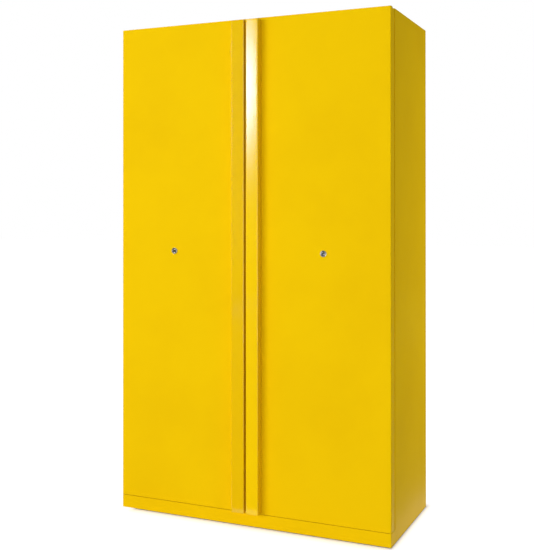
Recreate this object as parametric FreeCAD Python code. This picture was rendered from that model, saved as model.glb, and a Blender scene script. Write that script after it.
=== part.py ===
import FreeCAD, Part
import math
import os

from FreeCAD import Vector

os.makedirs("parts", exist_ok=True)

# Two-door fire-rated cabinet for flammable liquids. Millimetres, +Z up, doors face -Y.
# The origin is on the floor, in the middle of the whole cabinet's footprint.

# Overall sizes
cabinet_width = 1110.0
cabinet_height = 1955.0
body_depth = 570.0
strip_proud = 38.0
floor_gap = 2.0

# Carcass
sheet = 1.5
liner_thickness = 6.0
side_wall = 62.0
rear_wall = 62.0
floor_wall = 64.0
ceiling_wall = 90.0
front_bend = 2.0
rear_bend = 8.0
rear_flange = 20.0
void_under_top = 6.5

# Plinth
plinth_height = 50.0
plinth_lip = 15.0
plinth_tab_width = 24.0
plinth_tab_low = 8.0
plinth_tab_high = 38.0
base_rise = 5.0

# Doors
door_thickness = 54.0
door_gap = 3.0
door_foot_gap = 3.5
meeting_gap = 4.0
door_corner = 14.0
meeting_corner = 3.0

# Pivot hinges
hinge_from_side = 12.0
hinge_from_back = 14.0
hinge_plate = 5.0
hinge_tongue = 10.0
hinge_tail_width = 32.0
hinge_tail_length = 66.0
hinge_under_top = 2.0
notch_reach = 14.0
notch_depth = 11.5
pin_radius = 6.0
pin_length = 22.0
bush_radius = 9.0
bush_depth = 20.0
bush_gap = 0.2
closer_radius = 10.0
closer_length = 150.0
closer_gap = 0.1
running_clearance = 0.05
loose_clearance = 0.2

# Handle strips
strip_width = 51.0
strip_gap = 8.0
strip_end_gap_low = 9.0
strip_end_gap_top = 6.0
strip_fall = 2.6
strip_edge = 3.0
strip_sheet = 2.0

# Locks
lock_height = 1055.0
left_lock_offset = 316.0
right_lock_offset = 302.0
rosette_radius = 12.5
rosette_proud = 5.0
rosette_chamfer = 1.2
barrel_radius = 10.0
plug_radius = 6.0
plug_recess = 0.8
spindle_radius = 4.0
keyway_width = 1.8
keyway_height = 8.0
keyway_depth = 12.0

# Bolt-work: pinion, racks and rods
gear_module = 1.5
pinion_teeth = 14
pressure_angle = math.radians(20.0)
rack_addendum_share = 0.8
rack_dedendum_share = 1.25
pinion_dedendum_share = 1.05
backlash = 0.2
pinion_width = 9.0
rack_depth = 8.0
rack_back = 9.0
rack_teeth = 7
rack_lead_pitches = 2.5
rack_end_gap = 2.0
rod_radius = 4.0
rod_from_door = 12.0
rod_tip_gap = 3.5
rod_tip_chamfer = 1.0
rod_travel_angle = math.radians(90.0)
guide_clearance = 0.1
gearbox_half_width = 28.0
gearbox_half_height = 42.0
gearbox_depth = 24.0
gearbox_wall = 2.0
guide_half_width = 8.0
guide_height = 10.0
guide_cap = 3.0
guide_foot = 9.0
guide_count = 3
guide_from_lock = 126.0
guide_from_tip = 30.0
keeper_width = 17.0
keeper_length = 46.0
keeper_slot_length = 16.0
keeper_slot_width = 11.0
keeper_pocket = 24.0

# Seals
intumescent_width = 16.0
intumescent_thickness = 2.0
intumescent_offset = 14.0
gasket_width = 7.0
gasket_thickness = 2.6
gasket_offset = 3.0
gasket_round = 1.2
meeting_seal_width = 15.0
meeting_seal_thickness = 3.4
meeting_seal_setback = 16.0
meeting_seal_end_gap = 8.0

# Shelving
upright_width = 26.0
upright_depth = 9.0
upright_sheet = 2.0
upright_end_gap = 40.0
upright_front = 60.0
upright_rear = 120.0
slot_pitch = 84.0
slot_height = 14.0
slot_width = 6.0
lower_shelf_level = 560.0
middle_shelf_level = 980.0
upper_shelf_level = 1400.0
shelf_sheet = 1.2
shelf_rim = 30.0
shelf_side_gap = 2.0
shelf_front_setback = 29.0
shelf_duct_gap = 6.0
shelf_hem = 9.0
clip_reach = 22.0
clip_width = 12.0
clip_thickness = 3.0
clip_lug = 16.0

# Sump
sump_height = 60.0
sump_sheet = 1.5
sump_side_gap = 5.0
sump_front_setback = 24.0
grid_gap = 3.0
grid_front_gap = 16.0
grid_flange = 34.0
grid_drop = 4.0
grid_columns = 8
grid_rows = 4
grid_slot_length = 60.0
grid_slot_width = 12.0

# Air duct, spigots and dampers
duct_width = 160.0
duct_depth = 30.0
duct_sheet = 1.2
duct_bottom_gap = 12.0
duct_slot_length = 60.0
duct_slot_width = 8.0
duct_slot_pitch = 22.0
duct_slots_per_group = 3
plenum_width = 200.0
plenum_depth = 112.0
plenum_height = 62.0
spigot_radius = 37.5
spigot_wall = 1.5
spigot_height = 50.0
spigot_flange_radius = 54.0
spigot_flange = 2.0
spigot_from_back = 58.0
exhaust_x = 0.0
supply_x = -230.0
damper_radius = 35.0
damper_thickness = 2.5
damper_below_top = 40.0
damper_spindle = 3.0
damper_spindle_half = 42.0
damper_hub = 5.0

# Earthing stud
earth_from_side = 115.0
earth_from_back = 60.0
earth_radius = 4.0
earth_length = 22.0
earth_nut_flats = 13.0
earth_nut_height = 6.5
earth_washer_radius = 8.0
earth_washer = 1.6

# Levelling feet
foot_from_side = 85.0
foot_from_front = 62.0
foot_from_back = 64.0
foot_pad_radius = 22.0
foot_pad_height = 8.0
foot_pad_chamfer = 2.0
foot_collar_flats = 17.0
foot_collar_height = 8.0
foot_spindle_radius = 5.0
foot_top_gap = 4.0
bracket_half_width = 32.0
bracket_half_length = 26.0
bracket_sheet = 3.0
bracket_drop = 20.0
bracket_nut_flats = 17.0
bracket_nut_height = 8.0

# Places that follow from the sizes above
half_width = cabinet_width / 2
front_y = strip_proud - (body_depth + strip_proud) / 2
back_y = front_y + body_depth
door_back_y = front_y + door_thickness
carcass_y = door_back_y + door_gap
top_z = cabinet_height
door_bottom_z = plinth_height + door_foot_gap
base_z = plinth_height + base_rise
floor_z = base_z + floor_wall
ceiling_z = top_z - ceiling_wall
inner_half_width = half_width - side_wall
inner_back_y = back_y - rear_wall
insulation_top_z = top_z - sheet - void_under_top
axis_x = half_width - hinge_from_side
axis_y = door_back_y - hinge_from_back
meeting_x = meeting_gap / 2
rod_y = door_back_y + rod_from_door
pitch_radius = gear_module * pinion_teeth / 2
rod_offset = pitch_radius + rack_back / 2
rod_travel = pitch_radius * rod_travel_angle
top_rod_end_z = ceiling_z - rod_tip_gap
bottom_rod_end_z = floor_z + rod_tip_gap
keeper_back_y = carcass_y + sheet + keeper_width
spigot_y = inner_back_y - spigot_from_back
damper_z = top_z - damper_below_top
shelf_front_y = carcass_y + shelf_front_setback
shelf_back_y = inner_back_y - duct_depth - shelf_duct_gap
shelf_levels = (lower_shelf_level, middle_shelf_level, upper_shelf_level)
upright_x = inner_half_width - upright_depth
upright_ys = (carcass_y + upright_front, inner_back_y - upright_rear)
hinge_top_high_z = top_z - hinge_under_top
hinge_top_low_z = hinge_top_high_z - hinge_plate
notch_floor_z = top_z - notch_depth

SAME_PLACE = 1e-6
MIRROR_POINT = Vector(0, 0, 0)
MIRROR_NORMAL = Vector(1, 0, 0)


def box(x0, x1, y0, y1, z0, z1):
    """A block between two corners."""
    return Part.makeBox(x1 - x0, y1 - y0, z1 - z0, Vector(x0, y0, z0))


def rod_along_x(x0, x1, y, z, radius):
    """A round bar along X."""
    return Part.makeCylinder(radius, x1 - x0, Vector(x0, y, z), Vector(1, 0, 0))


def rod_along_y(x, y0, y1, z, radius):
    """A round bar along Y."""
    return Part.makeCylinder(radius, y1 - y0, Vector(x, y0, z), Vector(0, 1, 0))


def rod_along_z(x, y, z0, z1, radius):
    """A round bar along Z."""
    return Part.makeCylinder(radius, z1 - z0, Vector(x, y, z0), Vector(0, 0, 1))


def hexagon(x, y, z0, z1, flats):
    """A hexagonal bar along Z, measured across its flats."""
    reach = flats / math.sqrt(3.0)
    corners = [Vector(x + reach * math.cos(k * math.pi / 3), y + reach * math.sin(k * math.pi / 3), z0)
               for k in range(7)]
    return Part.Face(Part.makePolygon(corners)).extrude(Vector(0, 0, z1 - z0))


def mirrored(shape):
    """The same piece on the other side of the cabinet."""
    return shape.mirror(MIRROR_POINT, MIRROR_NORMAL)


def rounded_block(x0, x1, y0, y1, z0, z1, front_radius, rear_radius):
    """A block whose vertical edges are rounded, the front pair and the rear pair each with their own radius."""
    block = box(x0, x1, y0, y1, z0, z1)
    front = []
    rear = []
    for edge in block.Edges:
        middle = edge.CenterOfMass
        upright = abs(middle.z - (z0 + z1) / 2) < SAME_PLACE
        if upright and abs(middle.y - y0) < SAME_PLACE:
            front.append(edge)
        if upright and abs(middle.y - y1) < SAME_PLACE:
            rear.append(edge)
    block = block.makeFillet(front_radius, front)
    rear = [edge for edge in block.Edges
            if abs(edge.CenterOfMass.y - y1) < SAME_PLACE and abs(edge.CenterOfMass.z - (z0 + z1) / 2) < SAME_PLACE
            and edge.BoundBox.ZLength > (z1 - z0) / 2]
    return block.makeFillet(rear_radius, rear)


def carcass_inside(z0, z1):
    """The space inside the outer sheets, between two heights."""
    return rounded_block(sheet - half_width, half_width - sheet, carcass_y + sheet, back_y - sheet,
                         z0, z1, front_bend - sheet, rear_bend - sheet)


def hinge_slot(z0, z1):
    """Where a hinge plate passes through the right-hand front flange."""
    tail_x0 = axis_x + hinge_tongue - hinge_tail_width
    return box(tail_x0 - loose_clearance, axis_x + hinge_tongue + loose_clearance,
               carcass_y - sheet, carcass_y + 2 * sheet, z0 - loose_clearance, z1 + loose_clearance)


def right_side_panel():
    """One sheet folded round the side, with a front flange that the door closes on and a rear flange."""
    outside = rounded_block(-half_width, half_width, carcass_y, back_y, floor_gap, top_z, front_bend, rear_bend)
    panel = outside.cut(carcass_inside(floor_gap - sheet, top_z + sheet))
    panel = panel.cut(box(-half_width - sheet, inner_half_width, carcass_y - sheet, back_y - rear_bend,
                          floor_gap - sheet, top_z + sheet))
    panel = panel.cut(box(-half_width - sheet, half_width - rear_flange, back_y - rear_bend, back_y + sheet,
                          floor_gap - sheet, top_z + sheet))
    panel = panel.cut(hinge_slot(hinge_top_low_z, hinge_top_high_z))
    return panel.cut(hinge_slot(plinth_height - hinge_plate, base_z))


def rear_panel():
    """Flat sheet inside the side panels' rear flanges."""
    space = carcass_inside(base_z + sheet, top_z - sheet)
    return space.common(box(-half_width, half_width, back_y - 2 * sheet, back_y - sheet, base_z, top_z))


def spigot_hole(x, z0, z1):
    """The round passage for a spigot."""
    return rod_along_z(x, spigot_y, z0, z1, spigot_radius)


def top_panel():
    """Top sheet with a deep front flange over the opening, and two round holes for the spigots."""
    sheet_top = carcass_inside(top_z - sheet, top_z)
    flange = box(-inner_half_width, inner_half_width, carcass_y, carcass_y + sheet, ceiling_z, top_z)
    panel = sheet_top.fuse(flange)
    for x in (exhaust_x, supply_x):
        panel = panel.cut(spigot_hole(x, top_z - 2 * sheet, top_z + sheet))
    panel = panel.cut(rod_along_z(-(half_width - earth_from_side), back_y - earth_from_back,
                                  top_z - 2 * sheet, top_z + sheet, earth_radius))
    return panel.removeSplitter()


def base_panel():
    """Bottom sheet with a front flange up to the opening's sill."""
    sheet_bottom = carcass_inside(base_z, base_z + sheet)
    flange = box(-inner_half_width, inner_half_width, carcass_y, carcass_y + sheet, base_z, floor_z)
    return sheet_bottom.fuse(flange).removeSplitter()


def right_insulation():
    """Board between the side panel and the side liner."""
    space = carcass_inside(base_z + sheet, insulation_top_z)
    return space.common(box(inner_half_width + liner_thickness, half_width, carcass_y, back_y - 2 * sheet,
                            base_z, top_z))


def board(z0, z1, y0, y1):
    """A board that fills the width between the side boards."""
    reach = inner_half_width + liner_thickness
    return box(-reach, reach, y0, y1, z0, z1)


def rear_insulation():
    """Board between the rear panel and the rear liner."""
    return board(base_z + sheet, insulation_top_z, inner_back_y + liner_thickness, back_y - 2 * sheet)


def lock_offsets():
    """Each lock's distance from the middle with its side: 1 is the right door, -1 the left."""
    return ((1, right_lock_offset), (-1, left_lock_offset))


def keeper_places(is_top):
    """Where the rods' tips enter the ceiling or the floor."""
    reach = rod_offset if is_top else -rod_offset
    return [side * (offset + reach) for side, offset in lock_offsets()]


def keeper_slots(is_top, z0, z1):
    """Upright blocks as large as the slots that the rods' tips pass, between two heights."""
    return Part.makeCompound([box(x - keeper_slot_length / 2, x + keeper_slot_length / 2,
                                  rod_y - keeper_slot_width / 2, rod_y + keeper_slot_width / 2, z0, z1)
                              for x in keeper_places(is_top)])


def ceiling_insulation():
    """Ceiling board with passages for the spigots, their damper spindles and the rods' tips."""
    piece = board(ceiling_z + liner_thickness, insulation_top_z, carcass_y + sheet, inner_back_y + liner_thickness)
    for x in (exhaust_x, supply_x):
        piece = piece.cut(spigot_hole(x, ceiling_z, top_z))
        reach = damper_spindle_half + damper_hub
        piece = piece.cut(rod_along_x(x - reach, x + reach, spigot_y, damper_z, damper_hub))
    return piece.cut(keeper_slots(True, ceiling_z, ceiling_z + keeper_pocket))


def floor_insulation():
    """Floor board with pockets for the rods' tips."""
    piece = board(base_z + sheet, floor_z - liner_thickness, carcass_y + sheet, inner_back_y + liner_thickness)
    return piece.cut(keeper_slots(False, floor_z - keeper_pocket, floor_z))


def right_liner():
    """Side lining board."""
    return box(inner_half_width, inner_half_width + liner_thickness, carcass_y + sheet,
               inner_back_y + liner_thickness, floor_z - liner_thickness, ceiling_z + liner_thickness)


def rear_liner():
    """Rear lining board."""
    return box(-inner_half_width, inner_half_width, inner_back_y, inner_back_y + liner_thickness,
               floor_z, ceiling_z)


def ceiling_liner():
    """Ceiling lining board with holes for the spigots, from the keeper rail to the rear."""
    piece = box(-inner_half_width, inner_half_width, keeper_back_y, inner_back_y + liner_thickness,
                ceiling_z, ceiling_z + liner_thickness)
    for x in (exhaust_x, supply_x):
        piece = piece.cut(spigot_hole(x, ceiling_z - sheet, ceiling_z + 2 * liner_thickness))
    return piece


def floor_liner():
    """Floor lining board, from the keeper rail to the rear."""
    return box(-inner_half_width, inner_half_width, keeper_back_y, inner_back_y + liner_thickness,
               floor_z - liner_thickness, floor_z)


def plinth_cover():
    """Folded cover below the doors, flush with them, screwed to the side panels by two tabs."""
    outside = rounded_block(-half_width, half_width, front_y, back_y, floor_gap, plinth_height,
                            door_corner, rear_bend)
    inside = rounded_block(sheet - half_width, half_width - sheet, front_y + sheet, back_y, floor_gap - sheet,
                           plinth_height - sheet, door_corner - sheet, rear_bend)
    opening = box(-half_width + plinth_lip, half_width - plinth_lip, front_y + plinth_lip, back_y,
                  floor_gap, plinth_height + sheet)
    cover = outside.cut(inside).cut(opening)
    cover = cover.cut(box(-half_width - sheet, half_width + sheet, carcass_y, back_y + sheet, 0, top_z))
    for side in (-1, 1):
        x0 = side * (half_width - sheet)
        x1 = side * (half_width - plinth_tab_width)
        cover = cover.fuse(box(min(x0, x1), max(x0, x1), carcass_y - sheet, carcass_y,
                               plinth_tab_low, plinth_tab_high))
        reach = hinge_tongue + 2 * loose_clearance
        cover = cover.cut(box(side * axis_x - reach, side * axis_x + reach, axis_y - reach, carcass_y + sheet,
                              plinth_height - 2 * sheet, plinth_height + sheet))
    return cover.removeSplitter()


def hinge_tongue_plate(z0, z1):
    """A flat plate on the right: a tail fixed under the carcass sheet and a round-ended tongue under the pivot."""
    tail_x0 = axis_x + hinge_tongue - hinge_tail_width
    tail = box(tail_x0, axis_x + hinge_tongue, carcass_y, carcass_y + hinge_tail_length, z0, z1)
    tongue = box(axis_x - hinge_tongue, axis_x + hinge_tongue, axis_y, carcass_y, z0, z1)
    nose = rod_along_z(axis_x, axis_y, z0, z1, hinge_tongue)
    return tail.fuse(tongue).fuse(nose)


def hinge_plates():
    """Four pivot plates with their pins: the top pair hangs pins down, the bottom pair carries the doors."""
    top = hinge_tongue_plate(hinge_top_low_z, hinge_top_high_z)
    top = top.fuse(rod_along_z(axis_x, axis_y, hinge_top_low_z - pin_length, hinge_top_high_z, pin_radius))
    bottom = hinge_tongue_plate(plinth_height - hinge_plate, plinth_height)
    bottom = bottom.fuse(rod_along_z(axis_x, axis_y, plinth_height - hinge_plate,
                                     plinth_height + pin_length, pin_radius))
    tail_x0 = axis_x + hinge_tongue - hinge_tail_width
    spacer = box(tail_x0, axis_x + hinge_tongue, carcass_y + sheet, carcass_y + hinge_tail_length,
                 plinth_height - hinge_plate, base_z)
    bottom = bottom.fuse(spacer)
    pair = [top.removeSplitter(), bottom.removeSplitter()]
    return Part.makeCompound(pair + [mirrored(piece) for piece in pair])


def door_plan(inset):
    """The right door's outline seen from above, drawn in by an inset.

    The outer back corner is an arc about the hinge axis, so that it never nears the carcass as the door turns."""
    x_in = meeting_x + inset
    x_out = half_width - inset
    y_front = front_y + inset
    radius = hinge_from_back - inset
    outer = door_corner - inset
    inner = meeting_corner - inset
    rise = math.sqrt(radius ** 2 - (x_out - axis_x) ** 2)
    turn = (math.atan2(rise, x_out - axis_x) + math.pi / 2) / 2
    mid = Vector(axis_x + radius * math.cos(turn), axis_y + radius * math.sin(turn), 0)
    slant = math.cos(math.pi / 4)
    edges = [
        Part.makeLine(Vector(x_in, axis_y + radius, 0), Vector(x_in, y_front + inner, 0)),
        Part.Arc(Vector(x_in, y_front + inner, 0),
                 Vector(x_in + inner * (1 - slant), y_front + inner * (1 - slant), 0),
                 Vector(x_in + inner, y_front, 0)).toShape(),
        Part.makeLine(Vector(x_in + inner, y_front, 0), Vector(x_out - outer, y_front, 0)),
        Part.Arc(Vector(x_out - outer, y_front, 0),
                 Vector(x_out - outer * (1 - slant), y_front + outer * (1 - slant), 0),
                 Vector(x_out, y_front + outer, 0)).toShape(),
        Part.makeLine(Vector(x_out, y_front + outer, 0), Vector(x_out, axis_y + rise, 0)),
        Part.Arc(Vector(x_out, axis_y + rise, 0), mid, Vector(axis_x, axis_y + radius, 0)).toShape(),
        Part.makeLine(Vector(axis_x, axis_y + radius, 0), Vector(x_in, axis_y + radius, 0)),
    ]
    return Part.Face(Part.Wire(edges))


def door_block(inset, z0, z1):
    """The door's outline as a solid between two heights."""
    face = door_plan(inset)
    face.translate(Vector(0, 0, z0))
    return face.extrude(Vector(0, 0, z1 - z0))


def hinge_notch(lining):
    """Room at the door's top back corner for the hinge plate's sweep, less a lining all round."""
    reach = notch_reach + lining
    return box(axis_x - reach, half_width + door_gap, axis_y - reach, carcass_y, notch_floor_z - lining,
               top_z + sheet)


def closer_bore(radius):
    """The bore in the door's foot for the closer cartridge."""
    return rod_along_z(axis_x, axis_y, plinth_height, plinth_height + closer_length + door_foot_gap, radius)


def bush_bore(radius):
    """The bore under the notch for the top bush."""
    return rod_along_z(axis_x, axis_y, notch_floor_z - bush_depth, top_z, radius)


def door_skin(lock_x):
    """Folded outer sheet of the right door: front, two edges, head and foot, and a lined notch for the hinge."""
    outside = door_block(0.0, door_bottom_z, top_z).cut(hinge_notch(0.0))
    inside = door_block(sheet, door_bottom_z + sheet, top_z - sheet).cut(hinge_notch(sheet))
    back_door = box(meeting_x + sheet, axis_x, door_back_y - 2 * sheet, door_back_y + sheet,
                    door_bottom_z + sheet, top_z - sheet).cut(hinge_notch(sheet))
    skin = outside.cut(inside).cut(back_door)
    skin = skin.cut(rod_along_y(lock_x, front_y - sheet, front_y + 2 * sheet, lock_height, barrel_radius))
    skin = skin.cut(closer_bore(closer_radius))
    return skin.cut(bush_bore(bush_radius))


def door_core(lock_x):
    """Insulation board inside the door."""
    core = door_block(sheet, door_bottom_z + sheet, top_z - sheet).cut(hinge_notch(sheet))
    core = core.cut(box(meeting_x, axis_x, door_back_y - sheet, door_back_y + sheet, door_bottom_z, top_z))
    core = core.cut(rod_along_y(lock_x, front_y, door_back_y, lock_height, barrel_radius))
    core = core.cut(closer_bore(closer_radius))
    return core.cut(bush_bore(bush_radius))


def guide_heights(is_top):
    """Heights of the rod guides, spread evenly from near the gearbox to near the rod's tip."""
    near = lock_height + (guide_from_lock if is_top else -guide_from_lock)
    far = top_rod_end_z - guide_from_tip if is_top else bottom_rod_end_z + guide_from_tip
    step = (far - near) / (guide_count - 1)
    return [near + k * step for k in range(guide_count)]


def door_back(lock_x):
    """Flat back sheet of the right door."""
    back = box(meeting_x + sheet, axis_x, door_back_y - sheet, door_back_y, door_bottom_z + sheet, top_z - sheet)
    back = back.cut(hinge_notch(sheet))
    return back.cut(rod_along_y(lock_x, door_back_y - 2 * sheet, door_back_y + sheet, lock_height, barrel_radius))


def rod_guide(x, z):
    """A saddle on the door's back with a foot on each side and a bore for the rod."""
    low = z - guide_height / 2
    high = z + guide_height / 2
    saddle = box(x - guide_half_width, x + guide_half_width, door_back_y, rod_y + rod_radius + guide_cap, low, high)
    foot_reach = guide_half_width + guide_foot
    saddle = saddle.fuse(box(x - foot_reach, x + foot_reach, door_back_y, door_back_y + guide_cap, low, high))
    return saddle.cut(rod_along_z(x, rod_y, low - sheet, high + sheet, rod_radius + guide_clearance))


def rod_guides(lock_x):
    """All the saddles of the right door's two bolt rods."""
    pieces = []
    for is_top in (True, False):
        x = lock_x + (rod_offset if is_top else -rod_offset)
        pieces += [rod_guide(x, z).removeSplitter() for z in guide_heights(is_top)]
    return Part.makeCompound(pieces)


def handle_strip():
    """Closed channel along the right door's meeting edge. Its face falls a little towards the gap."""
    x_in = strip_gap / 2
    x_out = x_in + strip_width
    z0 = door_bottom_z + strip_end_gap_low
    z1 = top_z - strip_end_gap_top
    inner_y = front_y - strip_proud + strip_fall
    outer_y = front_y - strip_proud

    def channel(inset, low, high):
        fall = strip_fall * inset / strip_width
        corners = [Vector(x_in + inset, front_y, low), Vector(x_in + inset, inner_y + inset - fall, low),
                   Vector(x_out - inset, outer_y + inset + fall, low), Vector(x_out - inset, front_y, low),
                   Vector(x_in + inset, front_y, low)]
        return Part.Face(Part.makePolygon(corners)).extrude(Vector(0, 0, high - low))

    outside = channel(0.0, z0, z1)
    edges = [edge for edge in outside.Edges
             if edge.BoundBox.ZLength > strip_width and edge.CenterOfMass.y < front_y - strip_proud / 2]
    outside = outside.makeFillet(strip_edge, edges)
    return outside.cut(channel(strip_sheet, z0 + strip_sheet, z1 - strip_sheet))


def lock_barrel(lock_x):
    """Lock body through the door, with a chamfered round rosette on the face."""
    rosette = rod_along_y(lock_x, front_y - rosette_proud, front_y, lock_height, rosette_radius)
    rim = [edge for edge in rosette.Edges if abs(edge.CenterOfMass.y - (front_y - rosette_proud)) < SAME_PLACE]
    rosette = rosette.makeChamfer(rosette_chamfer, rim)
    barrel = rod_along_y(lock_x, front_y, door_back_y, lock_height, barrel_radius)
    bore = rod_along_y(lock_x, front_y - 2 * rosette_proud, door_back_y + sheet, lock_height,
                       plug_radius + running_clearance)
    return rosette.fuse(barrel).cut(bore).removeSplitter()


def involute(angle):
    """The involute of an angle, in radians."""
    return math.tan(angle) - angle


def pinion(lock_x):
    """Spur pinion on the lock's axis, with involute flanks drawn as arcs through three of their points."""
    tip = pitch_radius + gear_module
    root = pitch_radius - pinion_dedendum_share * gear_module
    base = pitch_radius * math.cos(pressure_angle)
    half_at_pitch = math.pi / (2 * pinion_teeth) - backlash / (2 * pitch_radius)

    def half_angle(radius):
        local = math.acos(min(1.0, base / radius))
        return half_at_pitch + involute(pressure_angle) - involute(local)

    def at(radius, angle):
        return Vector(lock_x + radius * math.cos(angle), 0, lock_height + radius * math.sin(angle))

    edges = []
    pitch_angle = 2 * math.pi / pinion_teeth
    for tooth in range(pinion_teeth):
        centre = tooth * pitch_angle
        next_root = centre + pitch_angle - half_angle(base)
        here = centre + half_angle(base)
        middle = (base + tip) / 2
        edges.append(Part.makeLine(at(root, centre - half_angle(base)), at(base, centre - half_angle(base))))
        edges.append(Part.Arc(at(base, centre - half_angle(base)), at(middle, centre - half_angle(middle)),
                              at(tip, centre - half_angle(tip))).toShape())
        edges.append(Part.Arc(at(tip, centre - half_angle(tip)), at(tip, centre),
                              at(tip, centre + half_angle(tip))).toShape())
        edges.append(Part.Arc(at(tip, centre + half_angle(tip)), at(middle, centre + half_angle(middle)),
                              at(base, centre + half_angle(base))).toShape())
        edges.append(Part.makeLine(at(base, here), at(root, here)))
        edges.append(Part.Arc(at(root, here), at(root, (here + next_root) / 2), at(root, next_root)).toShape())
    face = Part.Face(Part.Wire(edges))
    face.translate(Vector(0, rod_y - pinion_width / 2, 0))
    return face.extrude(Vector(0, pinion_width, 0))


def lock_cylinder(lock_x):
    """Turning plug with its keyway, the spindle behind it and the pinion on the spindle."""
    face_y = front_y - rosette_proud + plug_recess
    plug = rod_along_y(lock_x, face_y, door_back_y, lock_height, plug_radius)
    keyway = box(lock_x - keyway_width / 2, lock_x + keyway_width / 2, face_y - sheet, face_y + keyway_depth,
                 lock_height - keyway_height / 2, lock_height + keyway_height / 2)
    plug = plug.cut(keyway)
    spindle = rod_along_y(lock_x, door_back_y, door_back_y + gearbox_depth, lock_height, spindle_radius)
    return plug.fuse(spindle).fuse(pinion(lock_x)).removeSplitter()


def rack(lock_x, z_end):
    """Rack bar beside the pinion, carried on as a round rod. The top rod's rack is outboard, the bottom's inboard."""
    is_top = z_end > lock_height
    side = 1 if is_top else -1
    pitch = math.pi * gear_module
    addendum = rack_addendum_share * gear_module
    dedendum = rack_dedendum_share * gear_module
    half_pitch_line = pitch / 4 - backlash / 2
    half_tip = half_pitch_line - addendum * math.tan(pressure_angle)
    half_root = half_pitch_line + dedendum * math.tan(pressure_angle)
    first = lock_height - side * (rack_teeth - rack_lead_pitches) * pitch
    points = []
    x_tip = lock_x + side * (pitch_radius - addendum)
    x_root = lock_x + side * (pitch_radius + dedendum)
    x_back = lock_x + side * (pitch_radius + rack_back)
    start = first - side * pitch / 2
    points.append((x_back, start))
    points.append((x_root, start))
    for tooth in range(rack_teeth):
        centre = first + side * tooth * pitch
        points.append((x_root, centre - side * half_root))
        points.append((x_tip, centre - side * half_tip))
        points.append((x_tip, centre + side * half_tip))
        points.append((x_root, centre + side * half_root))
    finish = lock_height + side * (gearbox_half_height - gearbox_wall - rack_end_gap - rod_travel)
    points.append((x_root, finish))
    points.append((x_back, finish))
    points.append(points[0])
    corners = [Vector(x, rod_y - rack_depth / 2, z) for x, z in points]
    bar = Part.Face(Part.makePolygon(corners)).extrude(Vector(0, rack_depth, 0))
    rod_x = lock_x + side * rod_offset
    low = min(finish - side * rack_back, z_end)
    high = max(finish - side * rack_back, z_end)
    rod = rod_along_z(rod_x, rod_y, low, high, rod_radius)
    tip = [edge for edge in rod.Edges if abs(edge.CenterOfMass.z - z_end) < SAME_PLACE]
    rod = rod.makeChamfer(rod_tip_chamfer, tip)
    return bar.fuse(rod).removeSplitter()


def gearbox(lock_x):
    """Pressed cover over the pinion and racks, open towards the door, bored for the spindle and both rods."""
    outside = box(lock_x - gearbox_half_width, lock_x + gearbox_half_width, door_back_y,
                  door_back_y + gearbox_depth, lock_height - gearbox_half_height, lock_height + gearbox_half_height)
    upright_edges = [edge for edge in outside.Edges
                     if edge.CenterOfMass.y > door_back_y + gearbox_depth - sheet]
    outside = outside.makeFillet(gearbox_wall, upright_edges)
    inside = box(lock_x - gearbox_half_width + gearbox_wall, lock_x + gearbox_half_width - gearbox_wall,
                 door_back_y - sheet, door_back_y + gearbox_depth - gearbox_wall,
                 lock_height - gearbox_half_height + gearbox_wall, lock_height + gearbox_half_height - gearbox_wall)
    cover = outside.cut(inside)
    cover = cover.cut(rod_along_y(lock_x, door_back_y, door_back_y + 2 * gearbox_depth, lock_height,
                                  spindle_radius + running_clearance))
    for is_top in (True, False):
        side = 1 if is_top else -1
        z = lock_height + side * gearbox_half_height
        cover = cover.cut(rod_along_z(lock_x + side * rod_offset, rod_y, z - 2 * gearbox_wall,
                                      z + 2 * gearbox_wall, rod_radius + guide_clearance))
    return cover


def hinge_bush():
    """Plain bush in the right door's head, its collar just under the top hinge plate."""
    bush = rod_along_z(axis_x, axis_y, notch_floor_z - bush_depth, hinge_top_low_z - bush_gap, bush_radius)
    return bush.cut(rod_along_z(axis_x, axis_y, notch_floor_z - 2 * bush_depth, top_z,
                                pin_radius + running_clearance))


def closer():
    """Spring cartridge in the right door's foot. It turns on the bottom pin and pulls the door shut."""
    body = rod_along_z(axis_x, axis_y, plinth_height + closer_gap, plinth_height + closer_length, closer_radius)
    return body.cut(rod_along_z(axis_x, axis_y, plinth_height - sheet, plinth_height + pin_length + sheet,
                                pin_radius + running_clearance))


def meeting_seal():
    """Soft strip on the left door's meeting edge, short of the right door."""
    y0 = front_y + meeting_seal_setback
    return box(-meeting_x, meeting_seal_thickness - meeting_x, y0, y0 + meeting_seal_width,
               door_bottom_z + meeting_seal_end_gap, top_z - meeting_seal_end_gap)


def intumescent_strips():
    """Four strips on the carcass front that swell in a fire."""
    y0 = carcass_y - intumescent_thickness
    x0 = inner_half_width + intumescent_offset
    x1 = x0 + intumescent_width
    low = floor_z - intumescent_offset
    high = ceiling_z + intumescent_offset
    upright = box(x0, x1, y0, carcass_y, low - intumescent_width, high + intumescent_width)
    pieces = [upright, mirrored(upright),
              box(-x0, x0, y0, carcass_y, high, high + intumescent_width),
              box(-x0, x0, y0, carcass_y, low - intumescent_width, low)]
    return Part.makeCompound(pieces)


def frame_gasket():
    """Soft ring round the opening that the doors close against."""
    y0 = carcass_y - gasket_thickness
    inner = inner_half_width + gasket_offset
    low = floor_z - gasket_offset
    high = ceiling_z + gasket_offset
    outer = inner + gasket_width
    ring = box(-outer, outer, y0, carcass_y, low - gasket_width, high + gasket_width)
    ring = ring.cut(box(-inner, inner, y0 - sheet, carcass_y + sheet, low, high))
    face_edges = [edge for edge in ring.Edges if abs(edge.BoundBox.YMax - y0) < SAME_PLACE]
    return ring.makeFillet(gasket_round, face_edges)


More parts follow.
